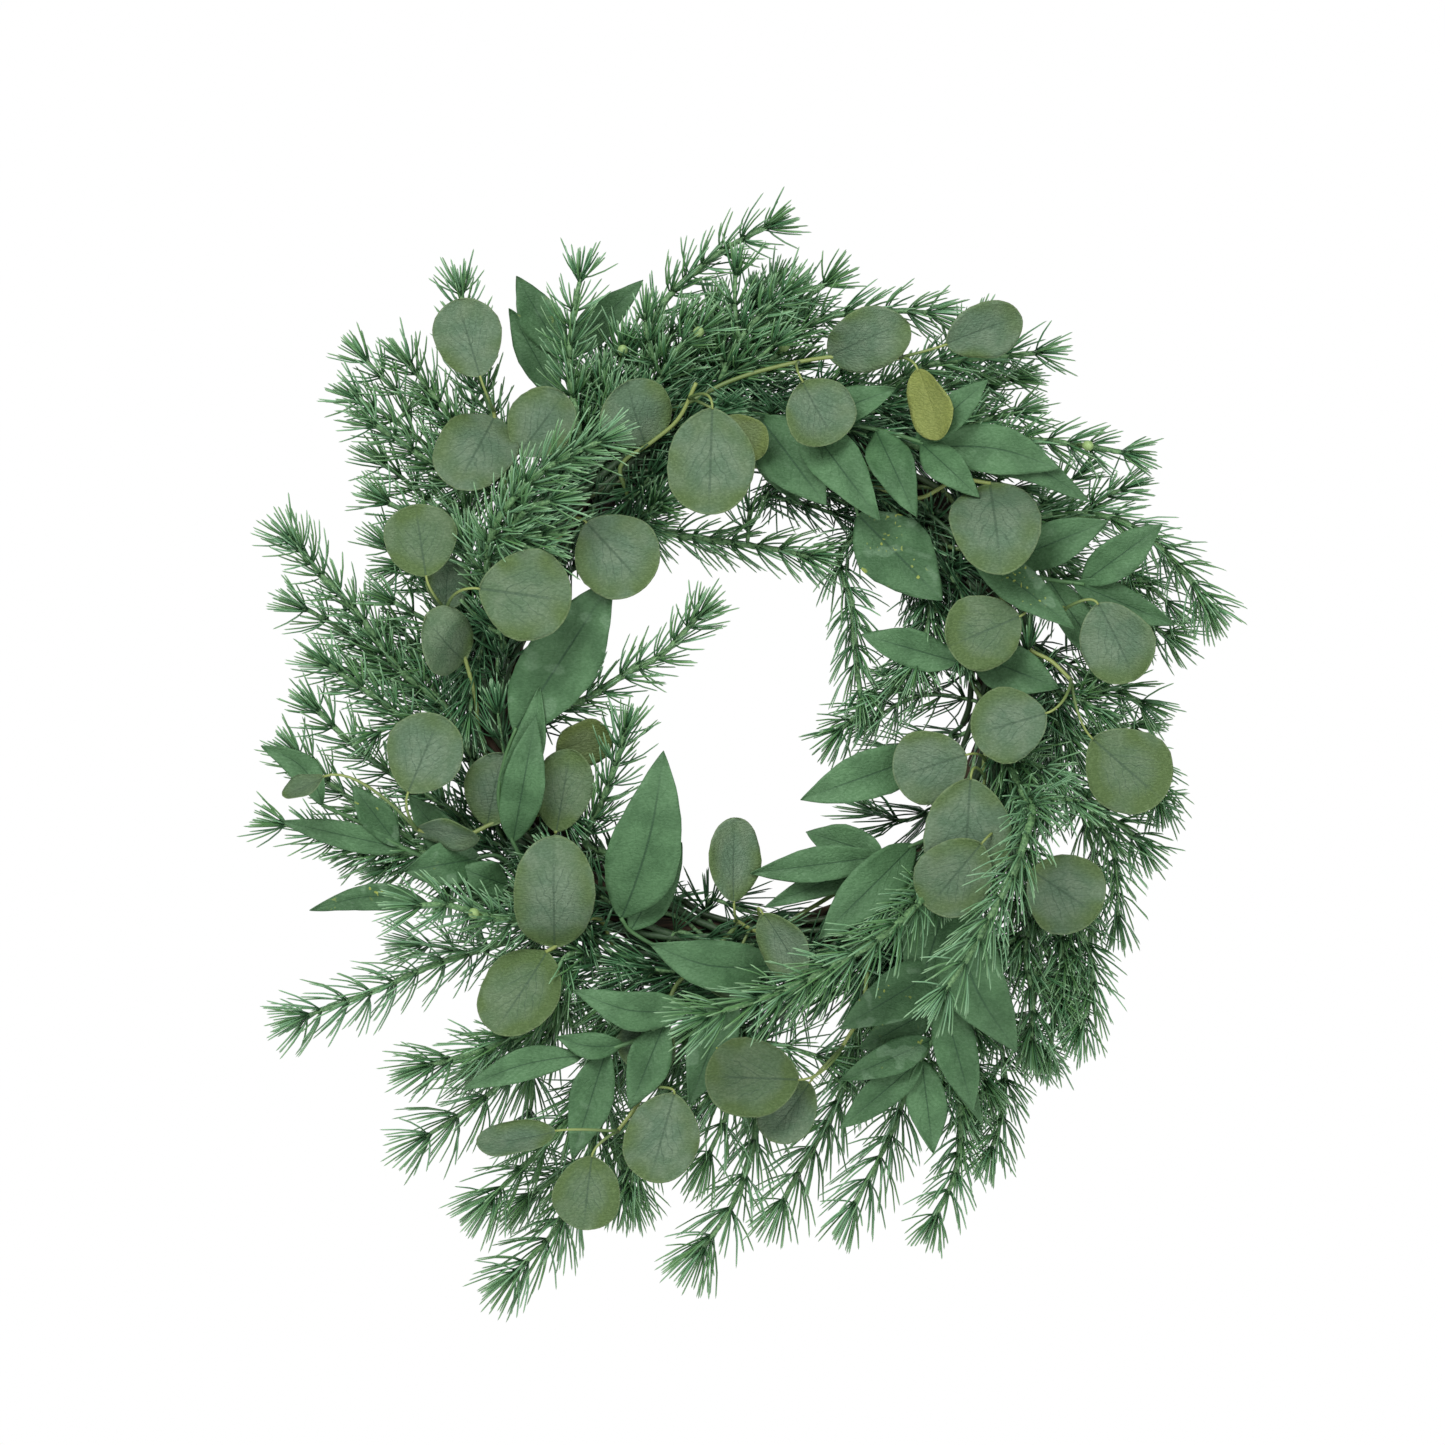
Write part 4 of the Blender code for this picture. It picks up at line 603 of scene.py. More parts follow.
# %% Shader sockets as numbers
class Value:
    """A socket of a finish. An expression on it adds Math nodes."""

    def __init__(self, finish, socket):
        self.finish, self.socket = finish, socket

    def maths(self, operation, *others):
        inputs = dict(enumerate((self, *others)))
        return self.finish.node("ShaderNodeMath", {"operation": operation}, inputs)

    def __add__(self, other):
        return self.maths("ADD", other)

    __radd__ = __add__

    def __sub__(self, other):
        return self.maths("SUBTRACT", other)

    def __rsub__(self, other):
        return (self * -1) + other

    def __mul__(self, other):
        return self.maths("MULTIPLY", other)

    __rmul__ = __mul__

    def __abs__(self):
        return self.maths("ABSOLUTE")

    def band(self, low, high):
        """0 below low and 1 above high, with a smooth step between."""
        settings = {"interpolation_type": "SMOOTHSTEP"}
        inputs = {"Value": self, "From Min": low, "From Max": high}
        return self.finish.node("ShaderNodeMapRange", settings, inputs)


# %% [markdown]
# A finish keeps its material's node tree. `blend` mixes two colours by a mask, `noise` gives cloudy
# patches of a real size, and `spot` and `own` read the values that were kept at each point. `finish`
# joins them to the shader. Only what a baked picture can hold varies over the surface: the colour, the
# roughness and the small relief.


# %% Nodes of a finish
class Finish:
    """A material, with a method that adds any node."""

    def __init__(self, name):
        self.material = bpy.data.materials.new(name)
        self.material.use_nodes = True
        self.tree = self.material.node_tree
        self.shader = self.tree.nodes["Principled BSDF"]

    def node(self, kind, settings=None, inputs=None, output=0):
        """Adds a node: its settings are set first, and then its inputs. Gives one of its outputs."""
        made = self.tree.nodes.new(kind)
        for name, value in (settings or {}).items():
            if name == "stops":
                self.set_stops(made.color_ramp, value)
            else:
                setattr(made, name, value)
        for key, value in (inputs or {}).items():
            self.feed(made.inputs[key], value)
        return Value(self, made.outputs[output])

    def set_stops(self, ramp, stops):
        while len(ramp.elements) < len(stops):
            ramp.elements.new(0.5)
        for element, (position, colour) in zip(ramp.elements, stops):
            element.position = position
            element.color = (*colour, 1)

    def feed(self, socket, value):
        if isinstance(value, Value):
            self.tree.links.new(value.socket, socket)
        elif socket.type == "RGBA":
            socket.default_value = (*value, 1)
        else:
            socket.default_value = value

    def blend(self, factor, first, second, kind="MIX"):
        """The first colour where the factor is 0, and the second where it is 1."""
        settings = {"data_type": "RGBA", "blend_type": kind}
        return self.node("ShaderNodeMix", settings, {0: factor, 6: first, 7: second}, 2)

    def noise(self, size, detail=2.0, stretch=None, where=None):
        """Cloudy noise whose patches are about the given size, in metres unless another place is given."""
        where = where or self.node("ShaderNodeTexCoord", output="Object")
        if stretch:
            where = self.node("ShaderNodeMapping", None, {"Vector": where, "Scale": stretch})
        inputs = {"Vector": where, "Scale": 1 / size, "Detail": detail}
        return self.node("ShaderNodeTexNoise", None, inputs, "Fac")

    def spot(self):
        """The three values kept at each point: for a leaf, along, across and how near the rim."""
        kept = self.node("ShaderNodeAttribute", {"attribute_name": "spot"}, None, "Vector")
        parts = [self.node("ShaderNodeSeparateXYZ", None, {0: kept}, axis) for axis in range(3)]
        return parts

    def own(self):
        """The chance number of the needle, leaf or stem."""
        return self.node("ShaderNodeAttribute", {"attribute_name": "own"}, None, "Fac")

    def finish(self, colour, roughness, height=None, depth=0.0003, **sockets):
        self.feed(self.shader.inputs["Base Color"], colour)
        self.feed(self.shader.inputs["Roughness"], roughness)
        for name, value in sockets.items():
            self.feed(self.shader.inputs[name.replace("_", " ")], value)
        if height:
            bump = self.node("ShaderNodeBump", None, {"Strength": 0.6, "Distance": depth, "Height": height})
            self.feed(self.shader.inputs["Normal"], bump)
        return self.material


def linear(red, green, blue):
    """A colour read as 0 to 255 on the screen, as the light that the shader works in."""
    return tuple((value / 255 / 12.92) if value < 11 else ((value / 255 + 0.055) / 1.055) ** 2.4
                 for value in (red, green, blue))


# %% [markdown]
# The pine needles are moulded plastic, with painted shade where they crowd at the stem, fresher along
# their length, and a painted highlight at the pale tip. The chance number makes some needles bluer and
# some yellower, and below 0 it paints them dark, as painted shade deep in the wreath. The stems are
# wrapped in a paler paper tape, which is dark green at their bound ends.

# %% Pine finishes
def pine_needle_finish():
    made = Finish("pine_needle_look")
    along = made.spot()[0]
    own = made.own()
    fresh = made.blend(own.band(0.1, 0.5), linear(80, 130, 88), linear(98, 144, 86))
    # Higher numbers are paler and bluer; the sprays in front start higher, partly as painted light.
    fresh = made.blend(own.band(0.45, 1.0), fresh, linear(130, 178, 136))
    # Painted shade: the needles are painted darker near the root, where they crowd at the stem.
    colour = made.blend(along.band(0.0, 0.5), linear(70, 112, 76), fresh)
    # Painted highlight: the tip of each needle is painted pale.
    colour = made.blend(along.band(0.7, 1.0) * 0.6, colour, linear(166, 204, 160))
    # Below 0 the number paints the needles dark: painted shade deep in the wreath.
    colour = made.blend((own * -1).band(0.0, 1.0) * 0.7, colour, linear(36, 66, 42))
    return made.finish(colour, 0.28 + 0.14 * own.band(0.0, 1.0), made.noise(0.0012), 0.00012)


def pine_stem_finish():
    made = Finish("pine_stem_look")
    grain = made.noise(0.0016, 3.0)
    colour = made.blend(grain.band(0.3, 0.7), linear(72, 112, 70), linear(128, 168, 114))
    colour = made.blend(made.own() * 0.85, colour, linear(44, 66, 42))
    return made.finish(colour, 0.5 + 0.15 * grain, grain, 0.0005)


def bud_finish():
    made = Finish("pine_bud_look")
    grain = made.noise(0.0012)
    colour = made.blend(grain, linear(128, 168, 96), linear(182, 204, 140))
    return made.finish(colour, 0.5, grain, 0.0003)


pine_finishes = [pine_stem_finish(), pine_needle_finish(), bud_finish()]
print("pine finishes:", [finish.name for finish in pine_finishes])

# %% [markdown]
# The round leaves are silver-dollar leaves printed on cloth: a dusty grey green that turns olive in
# patches towards the rim, a fine dark midrib, faint side veins that curve to the tip, and the crinkled
# cloth over all of it. A few are more olive. The lance leaves are a cooler, deeper green with dark
# patches, darker along the midrib, and a few carry yellow specks or pale patches of painted sheen. Each
# kind has a back of its own.


# %% Leaf finishes
def veins(spot, waver, count, slope, bow):
    """Thin lines: the midrib, and side veins that slant from it towards the tip and fade at the rim."""
    along, across, rim = spot
    away = abs(across)
    phase = along * count - away * slope + away * away * bow + waver * 1.1
    line = abs(phase.maths("FRACT") - 0.5).band(0.40, 0.49)
    midrib = (1 - away.band(0.008, 0.045)) * (1 - along.band(0.55, 0.95) * 0.8)
    return midrib, line * (1 - rim.band(0.35, 0.95)) * (1 - along.band(0.7, 1.0))


def cloth_of(made):
    """The crinkle and the fine weave of the printed cloth, from 0 to 1."""
    return made.noise(0.0018, 3.0, (1, 1, 1.8)).band(0.34, 0.66) * 0.75 + made.noise(0.0006, 0.0) * 0.25


def round_leaf_finish(name, face, dusty, olive, rim_colour, vein_colour):
    made = Finish(name)
    spot = made.spot()
    own = made.own()
    midrib, side = veins(spot, made.noise(0.006, 1.0), 6.0, 4.0, -1.0)
    cloth = cloth_of(made)
    patch = made.noise(0.026, 1.0).band(0.38, 0.62)
    rim = spot[2]
    colour = made.blend(made.noise(0.012, 2.0).band(0.35, 0.65), face, dusty)
    warmth = (rim.band(0.3, 1.0) * (0.15 + 0.85 * patch) + own.band(0.7, 1.0) * 0.4).maths("MINIMUM", 1.0)
    colour = made.blend(warmth, colour, olive)
    colour = made.blend(side * 0.5, colour, vein_colour)
    colour = made.blend(midrib * 0.6, colour, vein_colour)
    colour = made.blend(rim.band(0.955, 0.985) * 0.4, colour, rim_colour)
    colour = made.blend(own.band(1.1, 1.4) * 0.8, colour, linear(150, 158, 80))
    colour = made.blend(cloth * 0.42, colour, linear(150, 172, 146), "MULTIPLY")
    height = cloth * 0.8 + side * 0.15 - midrib * 0.3
    return made.finish(colour, 0.62 + 0.2 * cloth, height, 0.0009)


def lance_leaf_finish(name, face, deep, tip, speck):
    made = Finish(name)
    spot = made.spot()
    own = made.own()
    midrib, side = veins(spot, made.noise(0.008, 1.0), 9.0, 3.0, -0.6)
    cloth = cloth_of(made)
    patch = made.noise(0.016, 3.0).band(0.4, 0.66)
    inner = 1 - abs(spot[1]).band(0.02, 0.5)
    shade = (patch * 0.5 + own * 0.6 + inner * 0.3).maths("MINIMUM", 1.0)
    colour = made.blend(shade, face, deep)
    colour = made.blend(spot[0].band(0.55, 1.0) * 0.25, colour, tip)
    colour = made.blend(side * 0.3, colour, deep)
    colour = made.blend(midrib * 0.75, colour, linear(36, 74, 46))
    # Painted sheen: a few leaves get pale patches that stand for the light on their satin cloth.
    painted_sheen = made.noise(0.015, 1.0).band(0.6, 0.66) * own.band(0.72, 0.8)
    colour = made.blend(painted_sheen * 0.25, colour, linear(150, 182, 150))
    specks = made.noise(0.0022, 0.0).band(0.7, 0.74) * made.noise(0.014, 0.0).band(0.55, 0.68)
    colour = made.blend(specks * own.band(0.78, 0.85) * 0.75, colour, speck)
    colour = made.blend(cloth * 0.4, colour, linear(150, 176, 152), "MULTIPLY")
    height = cloth * 0.6 + side * 0.3 - midrib * 0.6 + made.noise(0.022, 1.0) * 5
    return made.finish(colour, 0.55 + 0.2 * cloth, height, 0.0007)


def leaf_stem_finish(name, young, old):
    made = Finish(name)
    grain = made.noise(0.002, 3.0)
    along = made.spot()[0]
    colour = made.blend((along.band(0.3, 1.0) * 0.8 + grain * 0.25).maths("MINIMUM", 1.0), old, young)
    colour = made.blend(made.own().band(1.0, 2.0) * 0.85, colour, linear(46, 66, 40))
    return made.finish(colour, 0.5, grain, 0.0002)


round_finishes = [
    leaf_stem_finish("eucalyptus_stem_look", linear(150, 164, 92), linear(84, 112, 64)),
    round_leaf_finish("eucalyptus_face_look", linear(95, 123, 97), linear(114, 136, 111),
                      linear(90, 115, 64), linear(132, 152, 108), linear(62, 88, 66)),
    round_leaf_finish("eucalyptus_back_look", linear(122, 142, 94), linear(134, 152, 110),
                      linear(126, 142, 76), linear(138, 156, 104), linear(152, 168, 122))]
lance_finishes = [
    leaf_stem_finish("lance_stem_look", linear(92, 134, 84), linear(48, 80, 50)),
    lance_leaf_finish("lance_face_look", linear(94, 136, 92), linear(62, 102, 62),
                      linear(110, 148, 108), linear(176, 186, 84)),
    lance_leaf_finish("lance_back_look", linear(112, 146, 102), linear(86, 120, 78),
                      linear(118, 150, 106), linear(176, 186, 84))]
print("leaf finishes:", [finish.name for finish in round_finishes + lance_finishes])


# %% [markdown]
# ## Leaves
# A leaf is a sheet that is cupped or folded, with a midrib pressed in and an edge that waves a little.
# It is worked out as rows of points on the same curved line as its solid, then given a back and a rim
# 0.4 mm away, because the real leaves are stiffened cloth and a sheet with no thickness shows no edge.
# The chance numbers start here: they come from one seed, so each run gives the same wreath.

# %% Blades
draw = random.Random(4)
STEM, FACE, BACK = range(3)
Kind = namedtuple("Kind", "rows columns wave uneven")
LANCE_KIND = Kind(26, 10, 1.5, 0.05)
ROUND_KIND = Kind(20, 12, 0.9, 0.03)
BLADE_THICKNESS = 0.4 * MM
THINNEST = 0.15 * MM
LEAF_CUP = 0.10
LINE_STEP = 0.75 * MM
MIDRIB_WIDTH, MIDRIB_DEPTH = 0.9 * MM, 0.35 * MM
blade_sheets = []


def blade_frame(line, roll):
    """The directions along a leaf, across it and out of its face."""
    along = (line[-1] - line[0]).normalized()
    across = along.cross(FORWARD).normalized()
    across = Matrix.Rotation(math.radians(roll), 3, along) @ across
    return along, across, across.cross(along)


def blade_width(share, pointed):
    """The leaf's half width at a share of its length, as a share of its full width."""
    if pointed:
        return 0.5 * math.sin(math.pi * share ** 0.82) ** 0.88
    return 1.08 * share ** 0.62 * math.sqrt(1 - share)


def rim_nearness(share, side, pointed):
    """0 at the leaf's middle and 1 at its rim."""
    if pointed:
        return abs(side)
    return math.hypot(2 * share - 1, side * 2 * math.sqrt(share * (1 - share)))


def blade_rows(line, width, roll, pointed, rows, columns, wave=0.0, phase=0.0, uneven=0.0):
    """Rows of points across a leaf from base to tip, and where each is on the leaf."""
    fine = np.array(smooth(line, LINE_STEP))
    _, across, facing = (np.array(way) for way in blade_frame(line, roll))
    points, spots = [], []
    for row in range(rows + 1):
        share = (1 - math.cos(math.pi * row / rows)) / 2
        at = share * (len(fine) - 1)
        middle = np.array([np.interp(at, range(len(fine)), fine[:, axis]) for axis in range(3)])
        even = blade_width(share, pointed) * width
        for column in range(columns + 1):
            side = 2 * column / columns - 1
            hand = 1.9 if side > 0 else 0
            ripple = math.sin(8.5 * share + phase * 1.7 + hand) + 0.3 * math.sin(38 * share + phase + hand)
            half = max(even * (1 + uneven * ripple), THINNEST)
            crown = 1 - side * side
            fold = 0.4 * (1 - abs(side)) + 0.6 * crown if pointed else 0.7 * crown
            depth = LEAF_CUP * fold * 2 * half
            depth += wave * side * side * math.sin(9 * share + phase + hand)
            depth += MIDRIB_DEPTH * math.exp(-(side * half / MIDRIB_WIDTH) ** 2)
            points.append(middle + across * side * half - facing * depth)
            spots.append((share, side * 2 * half / width, rim_nearness(share, side, pointed)))
    return np.array(points).reshape(rows + 1, columns + 1, 3), np.array(spots), facing


# %% [markdown]
# The rows become a mesh: the face lies half a thickness before the sheet, the back as far behind it, and
# a rim joins them. Normals are taken from the rows, so that the thickness is even where the leaf is
# cupped. The sheet itself is kept as well, for the needles to steer clear of.


# %% Blade meshes
def add_blade(piece, line, width, roll, pointed, own):
    """A leaf with a face, a back and a rim."""
    rows, columns, wave, uneven = LANCE_KIND if pointed else ROUND_KIND
    wave = draw.uniform(0.7, 1.7) * MM * wave
    phase = draw.uniform(0, TAU)
    grid, spots, facing = blade_rows(line, width, roll, pointed, rows, columns, wave, phase, uneven)
    normals = np.cross(np.gradient(grid, axis=0), np.gradient(grid, axis=1))
    normals /= np.maximum(np.linalg.norm(normals, axis=2, keepdims=True), 1e-12)
    if (normals.mean((0, 1)) * facing).sum() < 0:
        normals = -normals
    half = normals * BLADE_THICKNESS / 2
    points = np.vstack([(grid + half).reshape(-1, 3), (grid - half).reshape(-1, 3)])
    wide, total = columns + 1, (rows + 1) * (columns + 1)
    corners = [(r * wide + c, r * wide + c + 1, (r + 1) * wide + c + 1, (r + 1) * wide + c)
               for r in range(rows) for c in range(columns)]
    a, b, c = (points[i] for i in corners[len(corners) // 2][:3])
    if np.dot(np.cross(b - a, c - b), facing) < 0:
        corners = [corner[::-1] for corner in corners]
    edge = [c for c in range(wide)] + [r * wide + columns for r in range(1, rows + 1)]
    edge += [rows * wide + c for c in range(columns - 1, -1, -1)] + [r * wide for r in range(rows - 1, 0, -1)]
    if corners[0][1] != 1:
        edge = edge[::-1]
    rim = [(edge[i], edge[i - 1], edge[i - 1] + total, edge[i] + total) for i in range(len(edge))]
    back = [tuple(i + total for i in corner[::-1]) for corner in corners]
    places = np.vstack([spots, spots])
    piece.add(points, corners, FACE, places, own)
    piece.faces += [[i + piece.count - len(points) for i in face] for face in back + rim]
    piece.finishes += [BACK] * len(back) + [FACE] * len(rim)
    blade_sheets.append((grid.reshape(-1, 3), corners))


# %% [markdown]
# A leaf springs from the point of the stem that lies nearest to its base. The solids' stems have few
# points, and their leaves were set against those, so the same few points are found again here.


# %% Where leaves leave the stem
COARSE_TURN, COARSE_REACH = 3.2 * MM, 26 * MM
BARE_START = 21 * MM
FORK_START = 5 * MM


def coarse_stem(line, rooted):
    """The stem with few points, as its solid has it: the leaves were set against that."""
    kept, since, turned = [0], 0.0, 0.0
    for i in range(1, len(line) - 1):
        since += (line[i] - line[i - 1]).length
        turned += (line[i] - line[i - 1]).angle(line[i + 1] - line[i])
        if (rooted and i == 1) or turned * since > COARSE_TURN or since > COARSE_REACH:
            kept.append(i)
            since, turned = 0.0, 0.0
    return [line[i] for i in kept] + [line[-1]]


def nearest_on(lines, point):
    """The point of the stems nearest to a place seen from the front, past the root."""
    best = None
    for line in lines:
        start = BARE_START + (line[1] - line[0]).length if line is lines[0] else FORK_START
        for distance in np.arange(start, line_length(line) - 0.5 * MM, 1 * MM):
            spot = point_along(line, distance)
            away = math.hypot(spot.x - point.x, spot.z - point.z)
            if best is None or away < best[0]:
                best = (away, spot)
    return best


# %% [markdown]
# A lance leaf springs from the stem itself, and a round one mostly hangs on a stalk of its own. The same
# lines as in the solids are tried, lifted or swung by steps in millimetres, and the one that lies on the
# solid is used.


# %% Lines of leaves and stalks
NEAR_STEM = 8 * MM
LIFTS = [0, 2, -2, 4, -4, 6, -6, 8, -8, 10, -10, 12, -12] + list(range(14, 60, 2))
STALK_SWINGS = (0, 5, -5, 10, -10, 15, -15)
STALK_POINTS = 14


def round_leaf_line(leaf, lift):
    """A round leaf's line from base to tip, a little humped towards the viewer."""
    base = place(*leaf.base, leaf.level - leaf.rise / 2) - Vector((0, lift, 0))
    tip = place(*leaf.tip, leaf.level + leaf.rise / 2) - Vector((0, lift, 0))
    return [base, (base + tip) / 2 - Vector((0, 0.04 * (tip - base).length, 0)), tip]


def lance_leaf_line(leaf, lift, spot):
    """A lance leaf springs from the stem and arches over to its tip."""
    tip = place(*leaf.tip, leaf.level - 4 + leaf.rise) - Vector((0, lift, 0))
    rising = spot.lerp(tip, 0.22)
    rising.y = spot.y + (tip.y - spot.y) * 0.62
    middle = spot.lerp(tip, 0.55)
    middle.y = tip.y + (spot.y - tip.y) * 0.02 - 2 * MM
    aside = (tip - spot).cross(FORWARD).normalized() * leaf.bow * MM
    return [spot, rising + aside * 0.7, middle + aside, tip]


def stalk_line(spot, leaf_line, swing):
    """A stalk leaves the stem towards the viewer and bends over to meet its leaf."""
    base = leaf_line[0]
    along = (leaf_line[-1] - base).normalized()
    reach = (base - spot).length
    aside = (base - spot).cross(FORWARD).normalized() * swing * MM
    leave = spot + Vector((0, -0.4 * reach, 0)) + aside
    arrive = base - along * 0.35 * reach + aside * 0.5
    return interpolate_bezier(spot, leave, arrive, base + along * 0.6 * MM, STALK_POINTS)


def leaf_lines(lines, leaf, pointed, tree):
    """A leaf's own line, and its stalk where it has one."""
    away, spot = nearest_on(lines, place(*leaf.base, 0))
    attached = pointed or away < NEAR_STEM

    def blade_farness(line):
        grid = blade_rows(line, leaf.width * MM, leaf.roll, pointed, 6, 2)[0]
        return farness(tree, [Vector(point) for point in grid.reshape(-1, 3)])

    ways = [lance_leaf_line(leaf, lift * MM, spot) if attached else round_leaf_line(leaf, lift * MM)
            for lift in LIFTS]
    line = min(ways, key=blade_farness)
    if attached:
        return line, None
    return line, closest(tree, [stalk_line(spot, line, swing) for swing in STALK_SWINGS])


# %% [markdown]
# The end of a stem is bound along the ring for a hand's width behind the place where the spray springs
# off. Each bare end is laid back over the vine, drifting to the front of the ring.


# %% Bound ends
TAIL_COUNTS = (6, 7, 8, 9)
TAIL_STEP = 0.085
TAIL_REACH = BUNDLE_RADIUS + 3.4 * MM


def bound_end(line):
    """The bare end of a stem, laid back along the ring."""
    theta, _, phi = bundle_place(line[EXIT_INDEX])
    drift = turn_between(phi, math.pi / 2) / 8
    count = draw.choice(TAIL_COUNTS)
    points = [bundle_point(theta + TAIL_STEP * k, TAIL_REACH, phi + drift * k) for k in range(1, count + 1)]
    return smooth([line[EXIT_INDEX]] + points, STEM_STEP)


# %% [markdown]
# The leafy sprays are dressed first, because the needles have to keep clear of the leaves. Each leaf
# draws a chance number for its shade. A few round leaves are more olive than the rest in the photograph,
# one of them all over, and they are found by their place.

# %% Dress the leafy sprays
STEM_SIDES, STALK_SIDES = 8, 6
BOUND_OWN = 2.0
OLIVE_LEAVES = [(102, 160, 1.5), (-91, -32, 1.22), (8, 135, 1.22), (-91, -275, 0.95)]
OLIVE_REACH = 14 * MM


def own_number(leaf):
    """A chance number for a round leaf's shade, or the given one for the few that are more olive."""
    x, z = (leaf.base[0] + leaf.tip[0]) / 2, (leaf.base[1] + leaf.tip[1]) / 2
    near = [shade for at_x, at_z, shade in OLIVE_LEAVES if math.hypot(x - at_x, z - at_z) * MM < OLIVE_REACH]
    return (near + [draw.random()])[0]


def dress_leafy(spray, pointed):
    """The piece of a round-leaf or lance-leaf spray: its stems, leaves and stalks."""
    piece = Piece(spray.name)
    tail = bound_end(stems[spray.name][0])
    radii = taper(STEM_RADIUS * 1.3, STEM_RADIUS * 1.1, len(tail))
    add_tube(piece, tail, radii, STEM_SIDES, STEM, own=BOUND_OWN)
    coarse = [coarse_stem(line, i == 0) for i, line in enumerate(stems[spray.name])]
    for i, line in enumerate(stems[spray.name]):
        thick = FORK_RADIUS if i else STEM_RADIUS
        add_tube(piece, line, taper(thick, thick * 0.8, len(line)), STEM_SIDES, STEM, own=draw.random())
    for leaf in spray.leaves:
        line, stalk = leaf_lines(coarse, leaf, pointed, trees[spray.name])
        own = draw.random() if pointed else own_number(leaf)
        add_blade(piece, line, leaf.width * MM, leaf.roll, pointed, own)
        if stalk:
            radii = taper(STALK_RADIUS, STALK_RADIUS * 0.6, len(stalk))
            add_tube(piece, stalk, radii, STALK_SIDES, STEM, own=draw.random())
    return piece.build(lance_finishes if pointed else round_finishes)


leafy_pieces = [dress_leafy(spray, False) for spray in ROUND] + [dress_leafy(spray, True) for spray in LANCE]
print("leafy pieces:", len(leafy_pieces), "faces:", sum(len(piece.data.polygons) for piece in leafy_pieces))

# %% [markdown]
# ## Pine needles
# Each branch carries tufts of soft needles that lean forward and bend a little. A needle of a tuft whose
# straight way runs through a leaf or the vine is turned or left out, so the leaves and vines are put in
# search trees first. The bend isn't tried, nor are the needles taken from the solids, so a few dozen
# needles of some 26,000 still run through something.

# %% Room for a needle
leaf_points, leaf_faces = [], []
for sheet_points, sheet_faces in blade_sheets:
    first = len(leaf_points)
    leaf_points += [Vector(point) for point in sheet_points]
    leaf_faces += [[i + first for i in face] for face in sheet_faces]
leaf_tree = BVHTree.FromPolygons(leaf_points, leaf_faces)
vine_trees = [tree_of("vine_%d" % (strand + 1)) for strand in range(STRAND_COUNT)]
print("leaf faces to keep clear of:", len(leaf_faces))


def is_clear(root, way, length):
    """Whether a needle misses the leaves and the vine."""
    if leaf_tree.ray_cast(root, way, length)[0]:
        return False
    return not any(tree.ray_cast(root, way, length)[0] for tree in vine_trees)


# %% [markdown]
# A curve for each needle would be slow, so all needles of a spray are worked out at once: three sides
# round each, three or four rings along it, and a point at its end. A ring is given by its place along
# the needle and how wide it is there. The needles of small twigs have the fewer rings.


# %% Needle shape
NEEDLE, BUD = 1, 2
NEEDLE_RADIUS = 0.61 * MM
NEEDLE_RINGS = ((0.0, 0.7), (0.3, 1.0), (0.64, 1.0), (0.95, 0.78))
PLAIN_RINGS = ((0.0, 0.7), (0.45, 1.0), (0.93, 0.8))
NEEDLE_SIDES = 3


def add_needles(piece, needles, rings=NEEDLE_RINGS):
    """Needles given as (root, way, length, bend, chance number)."""
    roots = np.array([n[0] for n in needles])
    ways = np.array([n[1] for n in needles])
    lengths = np.array([n[2] for n in needles])[:, None]
    bends = np.array([n[3] for n in needles])
    helper = np.where(np.abs(ways[:, :1]) < 0.8, [[1.0, 0, 0]], [[0, 1.0, 0]])
    side = np.cross(ways, helper)
    side /= np.linalg.norm(side, axis=1, keepdims=True)
    across = np.cross(ways, side)
    rows, places = [], []
    for share, swell in rings:
        middle = roots + ways * lengths * share + bends * share * share
        for k in range(NEEDLE_SIDES):
            turn = TAU * k / NEEDLE_SIDES
            rows.append(middle + (side * math.cos(turn) + across * math.sin(turn)) * NEEDLE_RADIUS * swell)
            places.append((share, 0, 0))
    rows.append(roots + ways * lengths + bends)
    places.append((1, 0, 0))
    each = len(rows)
    points = np.stack(rows, axis=1).reshape(-1, 3)
    shape = []
    for ring in range(len(rings) - 1):
        for k in range(NEEDLE_SIDES):
            a, b = ring * NEEDLE_SIDES + k, ring * NEEDLE_SIDES + (k + 1) % NEEDLE_SIDES
            shape.append((a, b, b + NEEDLE_SIDES, a + NEEDLE_SIDES))
    last = (len(rings) - 1) * NEEDLE_SIDES
    shape += [(last + k, last + (k + 1) % NEEDLE_SIDES, each - 1) for k in range(NEEDLE_SIDES)]
    shape.append(tuple(range(NEEDLE_SIDES))[::-1])
    faces = [[i + n * each for i in face] for n in range(len(needles)) for face in shape]
    own = np.repeat([n[4] for n in needles], each)
    piece.add(points, faces, NEEDLE, np.tile(places, (len(needles), 1)), own)


# %% [markdown]
# The solids hold fewer needles than the real spray, at their true length and out to its furthest tips.
# Each of those is kept as a fine needle that curves forward and is a little shorter, and tufts of more
# needles are set between them. The tips are found in the solid's mesh: a tip is a corner where every
# edge is nearly as long as a needle, and where all edges lead to one small foot.

# %% Needles of the solids
TIP_EDGE = 15 * MM
FOOT_SPREAD = 9 * MM
WELD = 0.01 * MM
KEPT_SHARE = 0.88
KEPT_BEND = 0.32


def curved(root, tip, axis):
    """A needle from root to tip that leaves its branch at a wider angle and curves forward."""
    reach = (tip - root) * KEPT_SHARE
    bend = axis * reach.length * KEPT_BEND * math.sin(reach.angle(axis))
    way = reach - bend
    return root, way.normalized(), way.length, bend, draw.random()


